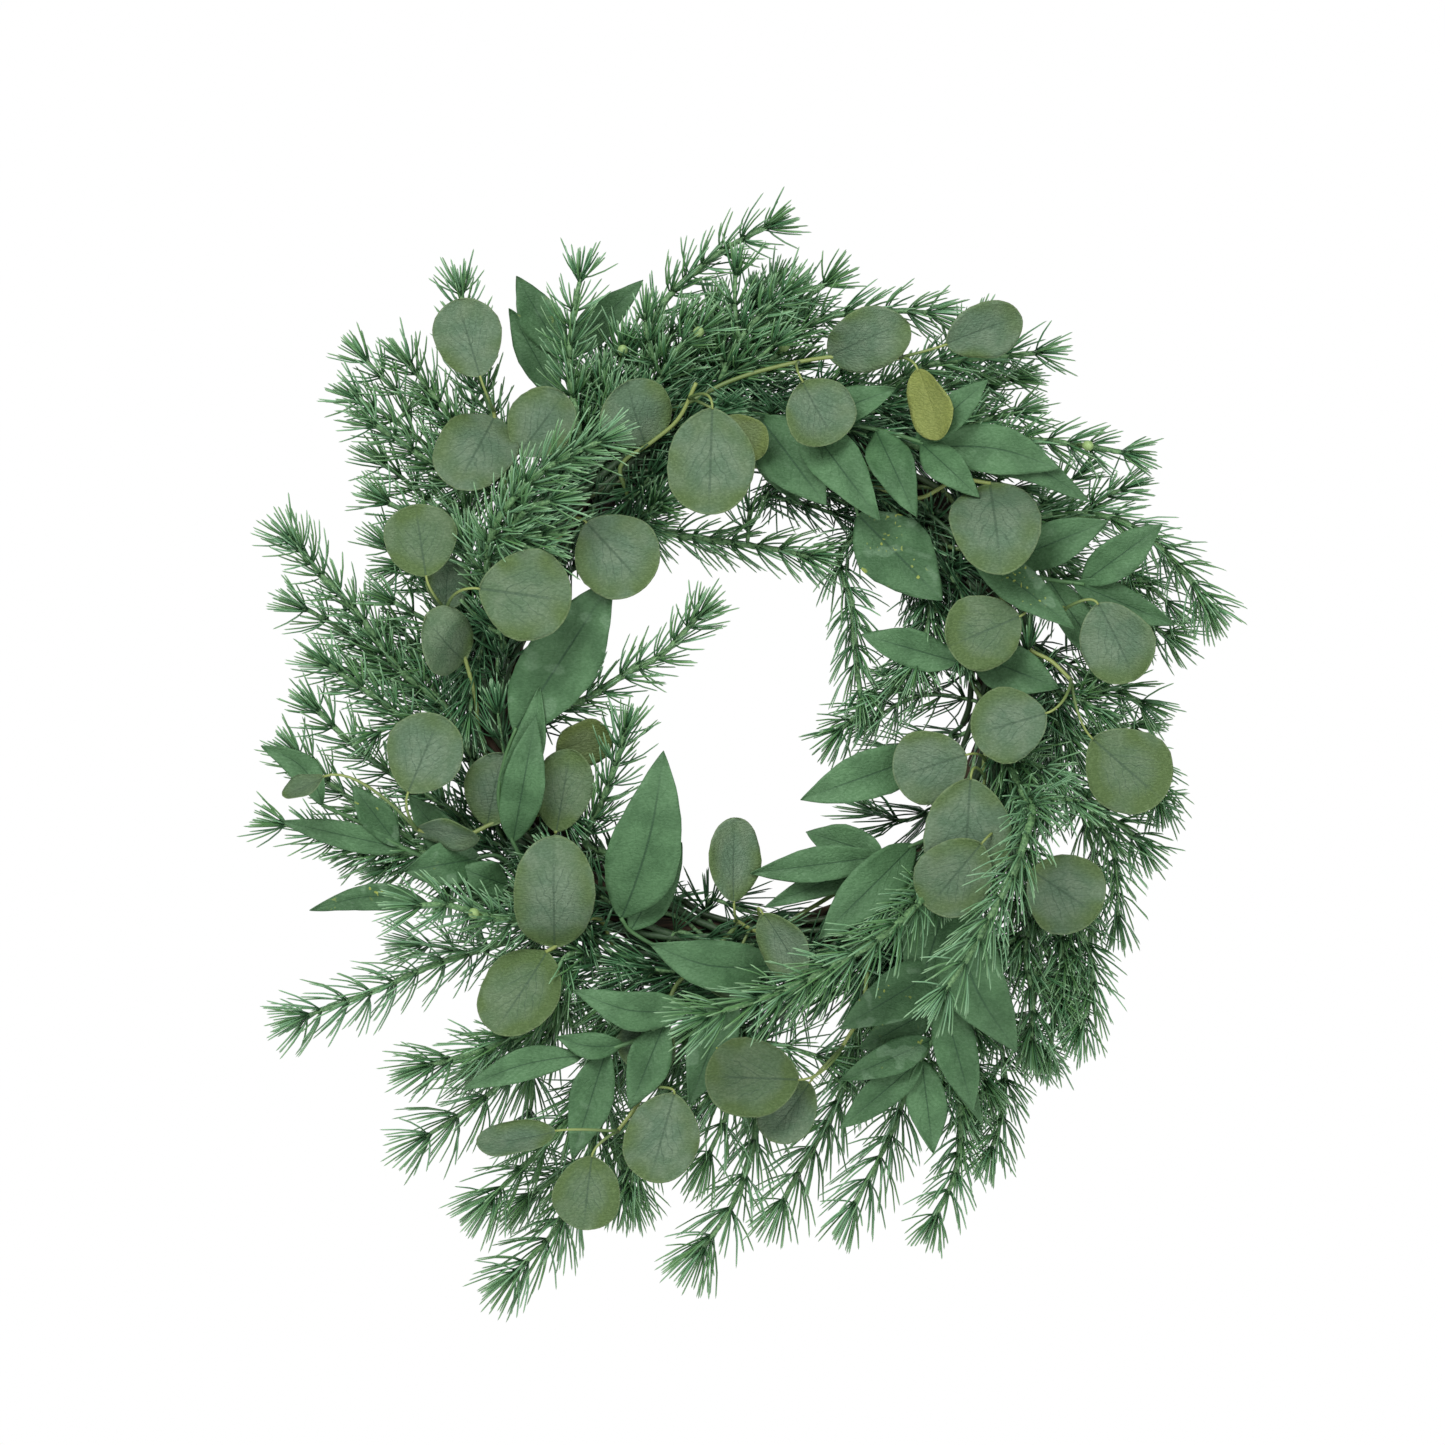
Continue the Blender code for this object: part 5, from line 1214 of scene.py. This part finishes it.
def solid_needles(node, lines):
    """The root, the tip and the branch's direction for each needle in a solid."""
    mesh = nodes[node].data
    corner = {}
    welded = [corner.setdefault(tuple(round(c / WELD) for c in v.co), v.index) for v in mesh.vertices]
    around = {}
    for face in mesh.polygons:
        ring = [welded[i] for i in face.vertices]
        for i, vertex in enumerate(ring):
            around.setdefault(vertex, set()).update((ring[i - 1], ring[(i + 1) % len(ring)]))
    found = []
    for vertex, others in around.items():
        tip = mesh.vertices[vertex].co
        feet = [mesh.vertices[i].co for i in others]
        spread = max((foot - feet[0]).length for foot in feet)
        if min((tip - foot).length for foot in feet) > TIP_EDGE and spread < FOOT_SPREAD:
            foot = sum(feet, Vector()) / len(feet)
            _, branch, i = min(((point - foot).length, branch, i) for branch, line in enumerate(lines)
                               for i, point in enumerate(line))
            line = lines[branch]
            axis = (line[min(i + 1, len(line) - 1)] - line[max(i - 1, 0)]).normalized()
            found.append((foot.lerp(line[i], 0.3), tip.copy(), axis))
    return found


counts = {spray.name: len(solid_needles(spray.name, stems[spray.name])) for spray in PINE}
print("needles in the solids:", sum(counts.values()), min(counts.items(), key=lambda row: row[1]))

# %% [markdown]
# The sprays don't grow alike in the photograph: the bottom ones are open and long in the needle, and
# those at the left are short and close. So each kind has a habit: the gap between its tufts, their
# needles, the needles' shortest and longest reach, how widely they lean, the part of a branch that bears
# side twigs, and the number that its needles' shades start from. A higher start makes the needles paler
# and bluer: partly their own tint, and partly painted light on the sprays in front.

# %% Habits of the sprays
Habit = namedtuple("Habit", "gap count short long leans twigs pale")
# The last number is partly tint and partly painted light: the sprays in front start paler.
HABITS = {
    "bottom": Habit(17 * MM, 18, 21 * MM, 27 * MM, (30, 74), 0.5, 0.2),
    "front": Habit(13.5 * MM, 16, 18 * MM, 24 * MM, (38, 82), 0.3, 0.6),
    "face": Habit(11 * MM, 17, 16 * MM, 23 * MM, (34, 76), 0.5, 0.5),
    "left": Habit(12 * MM, 16, 14 * MM, 21 * MM, (36, 78), 0.4, 0.1),
    "pine": Habit(11.5 * MM, 17, 14 * MM, 21 * MM, (36, 80), 0.62, 0.0),
}


def habit_of(name):
    """How a spray's needles grow, by the first word that its name holds."""
    return next(habit for word, habit in HABITS.items() if word in name)


print("plain habits:", sum(habit_of(spray.name) is HABITS["pine"] for spray in PINE), "of", len(PINE))

# %% [markdown]
# Between the solids' needles stand tufts: fans of needles that leave the branch together and curve
# forward. At a branch's end the needles close to a brush. Near the ring the needles' numbers are brought
# down, which paints them dark as painted shade deep in the wreath.

# %% Tufts
NEEDLE_BEND = 0.58
TIP_TUFTS = ((4, 1.0, 15, (16, 54), 0.95), (1, 0.7, 7, (3, 22), 0.85))
TIP_ROOM = 9 * MM
TUFT_TRIES, TRY_TURN = 4, 0.35
MODEST_SHARE = 0.88
DROOP = 0.05
HIDE_REACH = 90 * MM
BARE_REACH = 20 * MM
# How dark the painted shade near the ring gets, and how far out from the bundle it reaches.
PAINTED_SHADE_MOST, PAINTED_SHADE_REACH = 1.9, 26 * MM


def from_bundle(point):
    """A point's distance from the bundle's middle."""
    return math.hypot(math.hypot(point.x, point.z + HOOK_HEIGHT) - RING_RADIUS, point.y)


def hides_leaf(point):
    """Whether a leaf lies behind a point, as the viewer sees it."""
    return leaf_tree.ray_cast(point, -FORWARD, HIDE_REACH)[0] is not None


def painted_shade_by_ring(point):
    """How far a needle's number is brought down near the ring, for the painted shade deep in the wreath."""
    return PAINTED_SHADE_MOST * min(1, max(0, 1 - (from_bundle(point) - BUNDLE_RADIUS) / PAINTED_SHADE_REACH))


def tuft(middle, axis, radius, habit, count, leans, size=1.0, modest=False):
    """Needles round a branch, each turned to find a clear way. Modest ones don't hide a leaf."""
    side = axis.orthogonal().normalized()
    across = axis.cross(side)
    first = draw.uniform(0, TAU)
    # Painted shade: needles near the ring get lower numbers and so are painted darker.
    painted_shade = painted_shade_by_ring(middle)
    needles = []
    for k in range(count):
        for attempt in range(TUFT_TRIES):
            turn = first + TAU * k / count + draw.uniform(-0.25, 0.25) + attempt * TRY_TURN
            lean = math.radians(draw.uniform(*leans))
            outward = side * math.cos(turn) + across * math.sin(turn)
            way = (axis * math.cos(lean) + outward * math.sin(lean)).normalized()
            length = draw.uniform(habit.short, habit.long) * size
            root = middle + outward * radius * 0.6 + axis * draw.uniform(-1.4, 1.4) * MM
            start = root + way * radius * 1.2
            bend = axis * length * NEEDLE_BEND * draw.uniform(0.4, 1.3) * math.sin(lean)
            bend += Vector((0, 0, -1)) * length * DROOP
            end = root + way * length + bend
            if modest and (hides_leaf(end) or hides_leaf((start + end) / 2)):
                break
            if is_clear(start, (end - start).normalized(), (end - start).length):
                # A needle's number starts from its spray's tint and painted light, less the painted shade
                # near the ring.
                needles.append((root, way, length, bend, draw.uniform(habit.pale, 1.0) - painted_shade))
                break
    return needles


def branch_axis(line, distance):
    """The direction of a branch at a distance along it."""
    return (point_along(line, distance + 2 * MM) - point_along(line, distance - 2 * MM)).normalized()


def branch_tufts(line, radius, start, habit, modest=False):
    """The tufts along a branch, from where it is clear of the ring to its tip."""
    length = line_length(line)
    mark = start
    while mark < length and from_bundle(point_along(line, mark)) < BARE_REACH:
        mark += 2 * MM
    needles = []
    while mark < length - TIP_ROOM:
        axis = branch_axis(line, mark)
        count = round(habit.count * draw.uniform(0.8, 1.15) * (MODEST_SHARE if modest else 1))
        needles += tuft(point_along(line, mark), axis, radius, habit, count, habit.leans, 1.0, modest)
        mark += habit.gap * draw.uniform(0.75, 1.25)
    axis = branch_axis(line, length - 3 * MM)
    for behind, thin, count, leans, size in TIP_TUFTS:
        needles += tuft(line[-1] - axis * behind * MM, axis, radius * thin, habit, count, leans, size, modest)
    return needles


# %% [markdown]
# Side twigs fill out the sprays between the ring and the outline. A twig needs room: it has to keep off
# the leaves, the vine, the hole and the wall. It also stands only where another branch is close by, so
# that the wreath's outline stays that of its branches.

# %% Room for a twig
NEIGHBOUR_REACH = 26 * MM
HOLE_REACH = 116 * MM
WALL_SIDE, ROOM_SIDE = 30 * MM, -105 * MM


def line_is_clear(line):
    """Whether a twig keeps off the leaves, the vine, the hole and the wall, and hides no leaf."""
    tip = line[-1]
    if math.hypot(tip.x, tip.z + HOOK_HEIGHT) < HOLE_REACH or not ROOM_SIDE < tip.y < WALL_SIDE:
        return False
    if any(hides_leaf(point) for point in line[len(line) // 2::2]):
        return False
    return all(is_clear(a, (b - a).normalized(), (b - a).length) for a, b in zip(line[1:], line[2:]))


all_lines = [line for spray in PINE for line in stems[spray.name]]
line_spots = np.array([(point.x, point.z) for line in all_lines for point in line])
line_numbers = np.repeat(range(len(all_lines)), [len(line) for line in all_lines])


def has_neighbour(tip, line):
    """Whether another branch lies close by, so that a twig there doesn't widen the outline."""
    others = line_spots[line_numbers != all_lines.index(line)]
    return np.hypot(others[:, 0] - tip.x, others[:, 1] - tip.z).min() < NEIGHBOUR_REACH


print("branches that may bear twigs:", len(all_lines))

# %% [markdown]
# A twig leaves its branch at a slant and bends forward. It is tried to one side and then the other, and
# raised or lowered, until its way is clear, or else left out. Twigs on the wall side of each branch close
# the gaps behind.


# %% Side twigs
TWIG_START, TWIG_GAP = 8 * MM, 25 * MM
TWIG_SHORT, TWIG_LONG = 28 * MM, 42 * MM
TWIG_POINTS = 12
TWIG_RISES = (0.1, 0.7, -0.5)
BACK_SHARES, BACK_RISE = (0.18, 0.42), -0.6


def twig_line(start, axis, side, length):
    """A twig's line, which leaves its branch at a slant and turns half way back along it."""
    lean = math.radians(draw.uniform(38, 56))
    way = axis * math.cos(lean) + side * math.sin(lean)
    onward = axis * math.cos(lean * 0.5) + side * math.sin(lean * 0.5)
    end = start + (way + onward).normalized() * length
    curve = interpolate_bezier(start, start + way * length / 3, end - onward * length / 3, end, TWIG_POINTS)
    return respaced(curve, STEM_STEP)


def twig_from(line, mark, hand, rise):
    """A twig from a branch to the given side, raised by a share, or None where its way isn't clear."""
    start, axis = point_along(line, mark), branch_axis(line, mark)
    side = axis.cross(FORWARD).normalized() * hand + FORWARD * rise
    twig = twig_line(start, axis, side.normalized(), draw.uniform(TWIG_SHORT, TWIG_LONG))
    bare = from_bundle(start) < BARE_REACH
    return twig if not bare and has_neighbour(twig[-1], line) and line_is_clear(twig) else None


def side_twigs(lines, part):
    """Twigs leave the given part of each branch to one side and then the other."""
    found = []
    for line in lines:
        length, mark, turn = line_length(line), TWIG_START, draw.choice((1, -1))
        while mark < length * part:
            bare = from_bundle(point_along(line, mark)) < BARE_REACH
            for rise, hand in [] if bare else [(rise, hand) for rise in TWIG_RISES for hand in (turn, -turn)]:
                twig = twig_from(line, mark, hand, rise + draw.uniform(-0.2, 0.2))
                if twig:
                    found.append(twig)
                    break
            mark += TWIG_GAP * draw.uniform(0.8, 1.2)
            turn = -turn
    return found


def back_twigs(lines):
    """Twigs on the wall side of each branch."""
    twigs = [twig_from(line, line_length(line) * share, draw.choice((0.7, -0.7)), BACK_RISE)
             for line in lines for share in BACK_SHARES]
    return [twig for twig in twigs if twig]


# %% [markdown]
# Short sprigs lie along the front and the back of the ring, so that only a little of the vine shows
# between them. Each is tried at several turns round the bundle until its way is clear. A few more twigs,
# listed and not tried, fill places that the photograph shows full. Every sprig springs from the
# pine stem nearest to its place and belongs to that stem's spray. The photograph doesn't show the back,
# so what grows there is a guess.

# %% Sprigs along the ring
RING_SPRIGS, BACK_SPRIGS = 24, 20
SPRIG_REACHES = (20 * MM, 22 * MM, 27 * MM, 33 * MM)
SPRIG_STEP = 0.13
HOME_REACH = 46 * MM
TOUCH = 6 * MM
SPRIG_TURNS = [math.radians(turn) for turn in (90, 60, 120, 40, 140, 75, 105)]
FILLING = [
    [(188, -62, 6), (203, -88, 10), (206, -128, 6)],
    [(186, -66, 2), (194, -98, 2), (192, -126, 0)],
    [(8, -196, 4), (26, -200, 8), (46, -206, 8)],
    [(122, -4, 2), (96, -2, 6), (70, -14, 8)],
    [(124, 8, 2), (104, 14, 2), (84, 8, 2)],
    [(118, -24, 4), (98, -28, 2), (78, -34, 0)],
    [(4, 108, 4), (26, 106, 6), (50, 99, 6)],
    [(14, 116, 0), (38, 112, 2), (62, 102, 2)],
    [(206, 74, 4), (222, 61, 4), (236, 48, 4)],
    [(100, -68, 0), (84, -72, 0), (68, -66, 0)],
    [(-192, 160, 4), (-206, 176, 6), (-217, 188, 4)],
    [(-24, -118, 12), (-4, -122, 14), (14, -126, 12)],
    [(-40, -126, 10), (-26, -136, 14), (-8, -144, 14)],
]


def pine_points(first, last):
    """The points of every pine stem but its first and last few, with its spray, branch and number."""
    return [(point, spray.name, branch, i) for spray in PINE for branch, line in enumerate(stems[spray.name])
            for i, point in enumerate(line[first:last], first)]


def sprung(line):
    """How far off the nearest pine stem is, its spray, and the line begun at that stem."""
    away, name, branch, i = min(((point - line[0]).length, *row) for point, *row in pine_points(4, -2))
    return away, name, smooth([stems[name][branch][i]] + (line if away > TOUCH else line[1:]), STEM_STEP)


def ring_sprig(theta, heading, front):
    """A clear line along the ring, and the spray that it springs from."""
    for turn in range(len(SPRIG_TURNS)):
        phi = SPRIG_TURNS[(turn + draw.randrange(3)) % len(SPRIG_TURNS)] * front
        line = [bundle_point(theta + heading * SPRIG_STEP * k, reach, phi)
                for k, reach in enumerate(SPRIG_REACHES)]
        away, name, whole = sprung(line)
        if away < HOME_REACH and line_is_clear(whole):
            return name, whole
    return None


sprigs = {}
for count, front in ((RING_SPRIGS, 1), (BACK_SPRIGS, -1)):
    for step in range(count):
        found = ring_sprig(TAU * (step + draw.uniform(-0.3, 0.3)) / count, 1 if step % 2 else -1, front)
        if found:
            sprigs.setdefault(found[0], []).append(found[1])
print("sprigs along the ring:", sum(len(lines) for lines in sprigs.values()), "of", RING_SPRIGS + BACK_SPRIGS)
for points in FILLING:
    away, name, line = sprung([place(*point) for point in points])
    print("a filling twig springs %.0f mm away on" % (away / MM), name)
    sprigs.setdefault(name, []).append(line)

# %% [markdown]
# ## Pine sprays
# Each pine spray is dressed in turn: its branches as thin ridged stems, the needles of its solid, the
# tufts between them, its twigs, and small pale buds where the photograph shows them. A bud stands on a
# short stalk of its own, so its profile starts thin.

# %% Buds
BUDS = [(-55, 193), (-73, 186), (-32, 194), (183, 141), (-150, -127), (20, 182)]
BUD_PROFILE = ((0.0, 0.3), (0.5, 0.3), (0.56, 0.75), (0.7, 1.0), (0.84, 0.95), (0.95, 0.6), (1.0, 0.15))
BUD_LENGTH, BUD_RADIUS = 16 * MM, 3.0 * MM
BUD_SIDES = 10
bud_homes = {}
for x, z in BUDS:
    spot = place(x, z, 0)
    _, name, *home = min((math.hypot(point.x - spot.x, point.z - spot.z), *row)
                         for point, *row in pine_points(0, -1))
    bud_homes.setdefault(name, []).append(home)
print("sprays with buds:", sorted(bud_homes))


def add_bud(piece, spot, way):
    """A bud on its short stalk."""
    line = [spot + way * BUD_LENGTH * share for share, _ in BUD_PROFILE]
    add_tube(piece, line, [BUD_RADIUS * swell for _, swell in BUD_PROFILE], BUD_SIDES, BUD, own=draw.random())


# %% [markdown]
# A branch swells a little in its middle, where most needles leave it. Its lumps are drawn by chance, one
# for each point round it, so that the paper tape looks wound over the needles' feet.

# %% Dress the pine sprays
BRANCH_STEP, BRANCH_SIDES = 2.2 * MM, 6
STEM_SWELLS, FORK_SWELLS = (1.0, 1.0, 1.6, 1.5, 1.3, 1.0), (1.0, 1.5, 1.5, 1.4, 1.2, 1.0)
TWIG_SWELLS = (1.0, 1.1, 0.8)


def add_branch(piece, line, thick, swells, own=0.0):
    """A taped stem with small lumps where needles leave it. The swells are spread along it."""
    fine = respaced(line, BRANCH_STEP)
    lumps = [draw.uniform(-0.10, 0.16) for _ in range(len(fine) * BRANCH_SIDES)]
    marks = np.linspace(0, len(swells) - 1, len(fine))
    radii = np.interp(marks, range(len(swells)), [thick * swell for swell in swells]).tolist()
    add_tube(piece, fine, radii, BRANCH_SIDES, STEM, relief=lambda i, k: lumps[i * BRANCH_SIDES + k], own=own)


def dress_pine(spray):
    """The piece of a pine spray, and how many needles it has."""
    piece = Piece(spray.name)
    lines, habit = stems[spray.name], habit_of(spray.name)
    tail = bound_end(lines[0])
    add_branch(piece, tail, STEM_RADIUS, (1.6, 1.4), 1.0)
    needles, plain = [], []
    for branch, line in enumerate(lines):
        thick = FORK_RADIUS if branch else STEM_RADIUS
        add_branch(piece, line, thick, FORK_SWELLS if branch else STEM_SWELLS)
        needles += branch_tufts(line, thick * 1.3, 4 * MM if branch else 0, habit)
    twigs = side_twigs(lines, habit.twigs) + (back_twigs(lines) if habit is not HABITS["left"] else [])
    twig_counts.append(len(twigs))
    for twig in twigs + sprigs.get(spray.name, []):
        add_branch(piece, twig, FORK_RADIUS, TWIG_SWELLS)
        plain += branch_tufts(twig, FORK_RADIUS, 9 * MM, habit, modest=True)
    needles += [curved(*kept) for kept in solid_needles(spray.name, lines)]
    add_needles(piece, needles)
    if plain:
        add_needles(piece, plain, PLAIN_RINGS)
    for branch, i in bud_homes.get(spray.name, []):
        axis = (lines[branch][i + 1] - lines[branch][i]).normalized()
        outward = (FORWARD * 0.9 + axis * 0.5).normalized()
        add_bud(piece, lines[branch][i] + outward * STEM_RADIUS * 0.6, outward)
    return piece.build(pine_finishes), len(needles) + len(plain)


twig_counts = []
pine_pieces = [dress_pine(spray) for spray in PINE]
print("pine needles:", sum(count for _, count in pine_pieces), "side twigs:", sum(twig_counts))

# %% [markdown]
# ## The vine ring
# The ring is four shoots of vine twisted together, almost black in the shade of the leaves. Each has
# ridged bark with knots. The solids are even, faceted strands, so finer shoots replace them in place.


# %% Bark
def bark_finish():
    made = Finish("bark_look")
    along_shoot = made.node("ShaderNodeAttribute", {"attribute_name": "spot"}, None, "Vector")
    streak = made.noise(0.35, 4.0, (1, 1, 0.09), along_shoot)
    grain = made.noise(0.0022, 4.0)
    patch = made.noise(0.018, 2.0)
    colour = made.blend(streak.band(0.36, 0.62), linear(26, 20, 14), linear(74, 58, 42))
    colour = made.blend(patch.band(0.5, 0.75) * 0.5, colour, linear(68, 62, 44))
    colour = made.blend(grain.band(0.55, 0.8) * 0.4, colour, linear(22, 16, 12))
    return made.finish(colour, 0.8 + 0.15 * grain, streak * 1.2 + grain * 0.6, 0.0012)


bark = bark_finish()
VINE_RINGS, VINE_SIDES = 360, 12
KNOT_SWELL, RIDGE_SWELL = 0.09, 0.018


def dress_vine(strand):
    """A closed shoot: its radius follows ridges along it and a few knots."""
    piece = Piece("vine_%d" % (strand + 1))
    knots = [(draw.uniform(0, TAU), draw.uniform(0.03, 0.05)) for _ in range(14)]
    ridges = [(draw.choice((2, 3, 5)), draw.choice((5, 9, 14)), draw.uniform(0, TAU)) for _ in range(4)]
    points, places = [], []
    for i in range(VINE_RINGS):
        theta = TAU * i / VINE_RINGS
        phase = strand_phase(strand, theta)
        middle = bundle_point(theta, STRAND_OFFSET, phase)
        outward = (middle - bundle_point(theta, 0, 0)).normalized()
        ahead = bundle_point(theta + 0.01, STRAND_OFFSET, strand_phase(strand, theta + 0.01))
        along = (ahead - middle).normalized()
        across = along.cross(outward).normalized()
        swell = sum(KNOT_SWELL * math.exp(-(turn_between(theta, at) / width) ** 2) for at, width in knots)
        for k in range(VINE_SIDES):
            turn = TAU * k / VINE_SIDES
            ridge = sum(RIDGE_SWELL * math.sin(a * turn + b * theta + c) for a, b, c in ridges)
            radius = STRAND_RADIUS * min(0.9 + ridge + swell, 1.04)
            points.append(middle + (outward * math.cos(turn) + across * math.sin(turn)) * radius)
            places.append((math.cos(turn), math.sin(turn), theta * RING_RADIUS / STRAND_RADIUS))
    faces = []
    for i in range(VINE_RINGS):
        ahead = (i + 1) % VINE_RINGS * VINE_SIDES
        for k in range(VINE_SIDES):
            following = (k + 1) % VINE_SIDES
            faces.append((i * VINE_SIDES + k, i * VINE_SIDES + following, ahead + following, ahead + k))
    piece.add(np.array(points), faces, 0, np.array(places), draw.random())
    return piece.build([bark])


vines = [dress_vine(strand) for strand in range(STRAND_COUNT)]
print("vine shoots:", len(vines))

# %% [markdown]
# Green wire ties hold the shoots together. A tie is one wire wound round three times, close together.


# %% Wire ties
def wire_finish():
    made = Finish("wire_look")
    grain = made.noise(0.001)
    colour = made.blend(grain, linear(38, 70, 44), linear(60, 96, 60))
    return made.finish(colour, 0.35 + 0.1 * grain)


wire = wire_finish()
TIE_TURNS, TIE_STEP, TIE_RADIUS = 3, 1.3 * MM, 0.6 * MM
TIE_POINTS = 24


def dress_tie(number):
    """A wire wound round the bundle, at the place of its solid."""
    name = "binding_%d" % number
    low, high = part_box(name)
    middle = (Vector(low) + Vector(high)) / 2
    theta = math.atan2(middle.z + HOOK_HEIGHT, middle.x)
    reach = BUNDLE_RADIUS + 0.3 * MM + TIE_RADIUS
    line = []
    for i in range(TIE_TURNS * TIE_POINTS + 1):
        shift = (i / (TIE_TURNS * TIE_POINTS) - 0.5) * TIE_TURNS * TIE_STEP / RING_RADIUS
        line.append(bundle_point(theta + shift, reach, TAU * i / TIE_POINTS))
    piece = Piece(name)
    add_tube(piece, line, [TIE_RADIUS] * len(line), 6, 0)
    return piece.build([wire])


ties = [dress_tie(number) for number in range(1, 5)]
print("wire ties:", len(ties))

# %% [markdown]
# ## Floor, light and camera
# The wreath hangs before white, as in a studio cut-out. The floor is well below the picture and is as
# plain as paper. It glows a little, so that its far side doesn't turn grey.

# %% Floor
FLOOR_DROP = 1.3
bpy.ops.mesh.primitive_plane_add(size=7, location=(0, 0, -FLOOR_DROP))
floor = bpy.context.object
floor.name = "floor"
paper = Finish("floor_look")
paper.feed(paper.shader.inputs["Emission Color"], (0.9, 0.9, 0.9))
paper.feed(paper.shader.inputs["Emission Strength"], 0.3)
shade = paper.blend(paper.noise(0.4), (0.86, 0.86, 0.85), (0.9, 0.9, 0.89))
floor.data.materials.append(paper.finish(shade, 0.8))

# %% [markdown]
# The light is soft and comes from the front, mostly from above at the left. The background is white to
# the camera alone and dim to everything else, so that the gaps between the leaves stay dark. Two weak
# lamps behind light the wreath's back.

# %% Light
scene = bpy.context.scene
scene.view_settings.view_transform = "Standard"
world = bpy.data.worlds.new("studio")
scene.world = world
world.use_nodes = True
sky = world.node_tree
dim = sky.nodes["Background"]
dim.inputs["Color"].default_value = (0.95, 0.98, 1.0, 1)
dim.inputs["Strength"].default_value = 0.17
white = sky.nodes.new("ShaderNodeBackground")
white.inputs["Color"].default_value = (1, 1, 1, 1)
seen = sky.nodes.new("ShaderNodeLightPath")
both = sky.nodes.new("ShaderNodeMixShader")
sky.links.new(seen.outputs["Is Camera Ray"], both.inputs[0])
sky.links.new(dim.outputs[0], both.inputs[1])
sky.links.new(white.outputs[0], both.inputs[2])
sky.links.new(both.outputs[0], sky.nodes["World Output"].inputs["Surface"])
LAMPS = (("key", (-1.0, -2.6, 1.5), 80, 1.5), ("fill", (1.5, -2.6, 0.3), 28, 1.8),
         ("back_left", (1.5, 2.6, 0.9), 17, 1.5), ("back_right", (-1.5, 2.6, 0.9), 17, 1.5))
for name, spot, power, size in LAMPS:
    lamp = bpy.data.lights.new(name, "AREA")
    lamp.energy = power
    lamp.size = size
    holder = bpy.data.objects.new(name, lamp)
    holder.location = spot
    holder.rotation_euler = (Vector((0, 0, -HOOK_HEIGHT)) - Vector(spot)).to_track_quat("-Z", "Y").to_euler()
    scene.collection.objects.link(holder)

# %% [markdown]
# The camera looks straight at the front. A long lens, far away, keeps the near sprays from looking
# larger. Its place follows from the ring's middle in the photograph and the size of one pixel.

# %% Camera
PICTURE_SIDE = 1445
PIXEL = 0.56 * MM
RING_COLUMN, RING_ROW = 750, 692
CAMERA_AWAY = 6.0
camera = bpy.data.objects.new("camera", bpy.data.cameras.new("camera"))
camera.location = ((PICTURE_SIDE / 2 - RING_COLUMN) * PIXEL, -CAMERA_AWAY,
                   (RING_ROW - PICTURE_SIDE / 2) * PIXEL - HOOK_HEIGHT)
camera.rotation_euler = (math.pi / 2, 0, 0)
camera.data.sensor_width = 36
camera.data.lens = 36 * CAMERA_AWAY / (PICTURE_SIDE * PIXEL)
camera.data.clip_end = 40
scene.collection.objects.link(camera)
scene.camera = camera
print("lens %.0f mm" % camera.data.lens)

# %% [markdown]
# At the end the pieces' triangles are counted.

# %% Triangle counts
meshes = leafy_pieces + [piece for piece, _ in pine_pieces] + vines + ties
triangles = {thing.name: sum(len(face.vertices) - 2 for face in thing.data.polygons) for thing in meshes}
print("triangles:", sum(triangles.values()), "largest piece:", max(triangles.items(), key=lambda row: row[1]))
